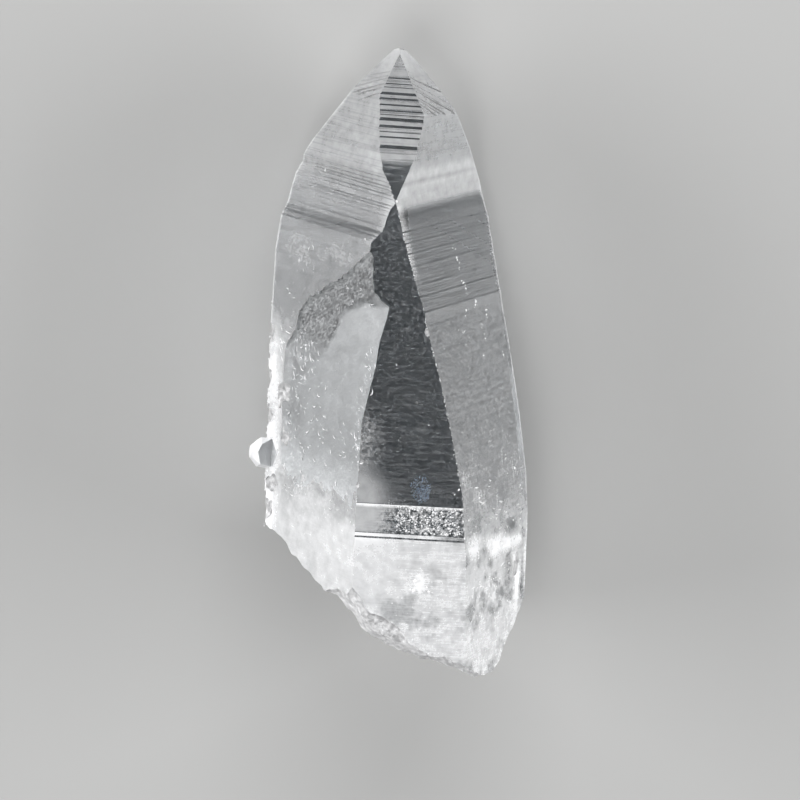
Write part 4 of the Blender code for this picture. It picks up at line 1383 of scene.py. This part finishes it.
specks = {
    "seed": 8, "Radius": 1.35, "Slim": 0.8, "Thickness": 0.5,
    # (face, across, depth, size), each a small knot of specks
    "spots": [
        (1, 0.9, 33.5, 0.20), (1, 5.5, 36.2, 0.24), (1, 6.1, 38.6, 0.30), (1, 6.3, 40.1, 0.30),
        (1, 6.7, 42.9, 0.34), (1, 7.2, 44.7, 0.30), (1, 10.0, 47.4, 0.32), (1, 5.5, 48.1, 0.24),
        (1, 3.0, 51.5, 0.20), (1, 14.6, 48.5, 0.22), (1, 14.4, 50.0, 0.22), (1, 11.4, 51.5, 0.20),
        (1, 12.0, 54.1, 0.24), (1, 9.7, 57.0, 0.18), (1, 18.3, 57.8, 0.2), (1, 5.0, 53.2, 0.18),
        (1, 16.2, 79.3, 0.34), (1, 12.6, 75.8, 0.28), (1, 18.1, 83.4, 0.3), (1, 4.4, 79.2, 0.2),
        (1, -5.5, 85.1, 0.26), (1, -0.7, 82.1, 0.24), (5, 18.0, 50.9, 0.42), (5, 17.0, 45.5, 0.26),
        (5, -9.7, 58.4, 0.4), (5, -9.7, 64.2, 0.3), (5, 9.0, 77.5, 0.26), (5, 11.4, 33.5, 0.16),
        (0, 6.5, 63.0, 0.12), (0, 13.8, 73.0, 0.24), (0, 15.0, 79.0, 0.22), (0, 2.0, 56.0, 0.12),
        (0, -0.1, 26.1, 0.26), (0, 0.4, 27.0, 0.18), (0, 4.0, 70.0, 0.10), (0, 9.0, 67.0, 0.10),
        (5, -8.5, 24.0, 0.20), (0, 8.0, 97.0, 0.4), (0, 11.6, 98.3, 0.3), (1, 8.1, 89.4, 0.4),
    ],
    # specks in a knot, how far they spread across and down for their size, and their sizes
    "knot": 4, "spread": 1.2, "drawnOut": 1.4, "sizes": (0.4, 0.6, 1.0), "shrink": (0.35, 1.0),
    "lean": (-0.6, 0.6), "lowest": -18, "edgeUnder": 0.04, "areaUnder": 0.02,
    # along an edge: (corner, from, to, how many, size)
    "edges": [(0, 26.5, 96, 60, 0.12), (5, 40, 62, 12, 0.14), (5, 62, 86, 12, 0.13),
              (4, 50, 96, 60, 0.22), (1, 60, 100, 20, 0.12)],
    # over an area: (face, across from, to, depth from, to, how many, size)
    "areas": [(0, 4.5, 16.8, 82.5, 87.7, 260, 0.17), (1, 0, 16, 46, 82, 60, 0.10),
              (0, -2, 14, 45, 82, 40, 0.06), (0, 4, 17, 89, 112, 60, 0.13),
              (1, -6, 18, 86, 106, 130, 0.20), (5, -6, 17, 86, 98, 30, 0.12),
              (5, -12, 12, 36, 50, 30, 0.09)],
}


def speckPlaces(specks):
    chance = random.Random(specks["seed"])
    places = []

    def add(face, spot, size):
        if spot.z < specks["lowest"] or abs(roomAt(spot)) > inner["nearSkin"]:
            return
        turn = turnOn(face, chance.uniform(*inner["anyTurn"]), chance.uniform(*specks["lean"]))
        places.append((spot, turn, size * chance.uniform(*specks["shrink"])))

    for face, across, depth, size in specks["spots"]:
        wander = size * specks["spread"]
        for _ in range(specks["knot"]):
            place = (across + chance.gauss(0, wander),
                     depth + chance.gauss(0, wander * specks["drawnOut"]))
            add(face, skinSpot(face, *place), size * chance.choice(specks["sizes"]))
    for corner, top, low, count, size in specks["edges"]:
        inward = (outwardOf(corner) + outwardOf(corner + 1)).normalized() * specks["edgeUnder"]
        for _ in range(count):
            depth = chance.uniform(top, low)
            spot = cornerSpots([lineValue(line, depth) for line in grownLines], depth)[corner]
            add(corner, spot - inward, size)
    for face, left, right, top, low, count, size in specks["areas"]:
        for _ in range(count):
            place = chance.uniform(left, right), chance.uniform(top, low)
            add(face, skinSpot(face, *place, specks["areaUnder"]), size)
    return places


needles = {
    "seed": 4, "Radius": 1.0, "Slim": 0.10, "Thickness": 0.09,
    "under": 0.06, "shrink": (0.25, 1.0), "clear": 0.02,
    # (face, across from, to, depth from, to, how many, longest half, lean, spread of the lean)
    "groups": [
        (1, 4, 20, 87, 97, 90, 1.5, 0.7, 0.35), (1, -5, 8, 84, 92, 60, 0.9, 0.9, 0.8),
        (1, 13, 22, 92, 106, 50, 2.2, 1.5, 0.12), (1, 0, 6, 94, 106, 30, 1.8, 1.4, 0.2),
        (1, -8.5, -3, 74.5, 79.5, 60, 1.0, -0.9, 0.5), (1, -3, 4, 79, 85, 80, 1.2, -0.9, 0.5),
        (1, 3, 11, 84, 89, 70, 1.3, -0.8, 0.5), (1, 12, 20, 72, 84, 46, 0.9, 1.2, 0.4),
        (0, 1, 18, 89, 111, 90, 0.8, 0.0, 0.2), (0, 3, 12, 95, 99, 26, 1.0, 0.0, 0.25),
        (0, 4.5, 16.8, 82.6, 87.6, 190, 0.8, 0.3, 0.9), (0, 2, 17, 40, 82, 60, 0.5, 0.0, 0.1),
        (1, -8, 18, 50, 82, 60, 0.45, -0.6, 0.5), (5, -14, 8, 60, 90, 90, 0.9, -0.7, 0.8),
        (5, -14, 12, 35, 52, 30, 0.5, -0.4, 1.0),
        (5, -14.5, -2, 54, 64, 110, 1.2, -0.9, 0.6), (5, -15, -7, 64, 82, 90, 1.0, -1.2, 0.5),
        (5, 12.2, 14.6, 52, 76, 60, 1.0, 1.3, 0.5), (5, 2, 15, 79, 91, 90, 0.75, -0.6, 0.6),
    ],
}


def needlePlaces(needles):
    chance = random.Random(needles["seed"])
    places = []
    for face, left, right, top, low, count, size, lean, wander in needles["groups"]:
        for _ in range(count):
            across, depth = chance.uniform(left, right), chance.uniform(top, low)
            under = needles["under"]
            if face == 5 and lineValue(scar["top"], across) < depth < scar["end"]:
                under += scarParts(across, depth)[0]
            spot = skinSpot(face, across, depth, under)
            turn = turnOn(face, chance.gauss(lean, wander))
            reach = size * chance.uniform(*needles["shrink"])
            half = turn.to_matrix() @ Vector((reach, 0, 0))
            if min(roomAt(end) for end in (spot, spot + half, spot - half)) > needles["clear"]:
                places.append((spot, turn, reach))
    return places


strewShards, shardSockets = shardTree()
sheets = {"milky_veils": (milkyVeils, veilPlaces(milkyVeils)),
          "silvery_cracks": (silveryCracks, crackPlaces(silveryCracks)),
          "bluish_cloud": (bluishCloud, bluishCloud["places"])}
for name, (look, places) in sheets.items():
    sheet = innerSheet(name, places, look["rough"])
    finish = shardFinish(*look["finish"])
    strew(sheet, name, strewShards, shardSockets, dict(look["shards"], Finish=finish))
sparkFinish = shardFinish("whiteSpark", (0.99, 0.99, 1.0, 1), 0.25, 0.0)
small = {"scar_crescents": (crescents, crescentPlaces), "bright_specks": (specks, speckPlaces),
         "crack_needles": (needles, needlePlaces)}
for name, (group, placesOf) in small.items():
    tree, sockets = placedTree("place_" + name, group is crescents)
    settings = {key: group[key] for key in inner["sizes"]}
    settings["Finish"] = sparkFinish
    strew(pointObject(name, placesOf(group)), name, tree, sockets, settings)
print("inner veils and specks made")
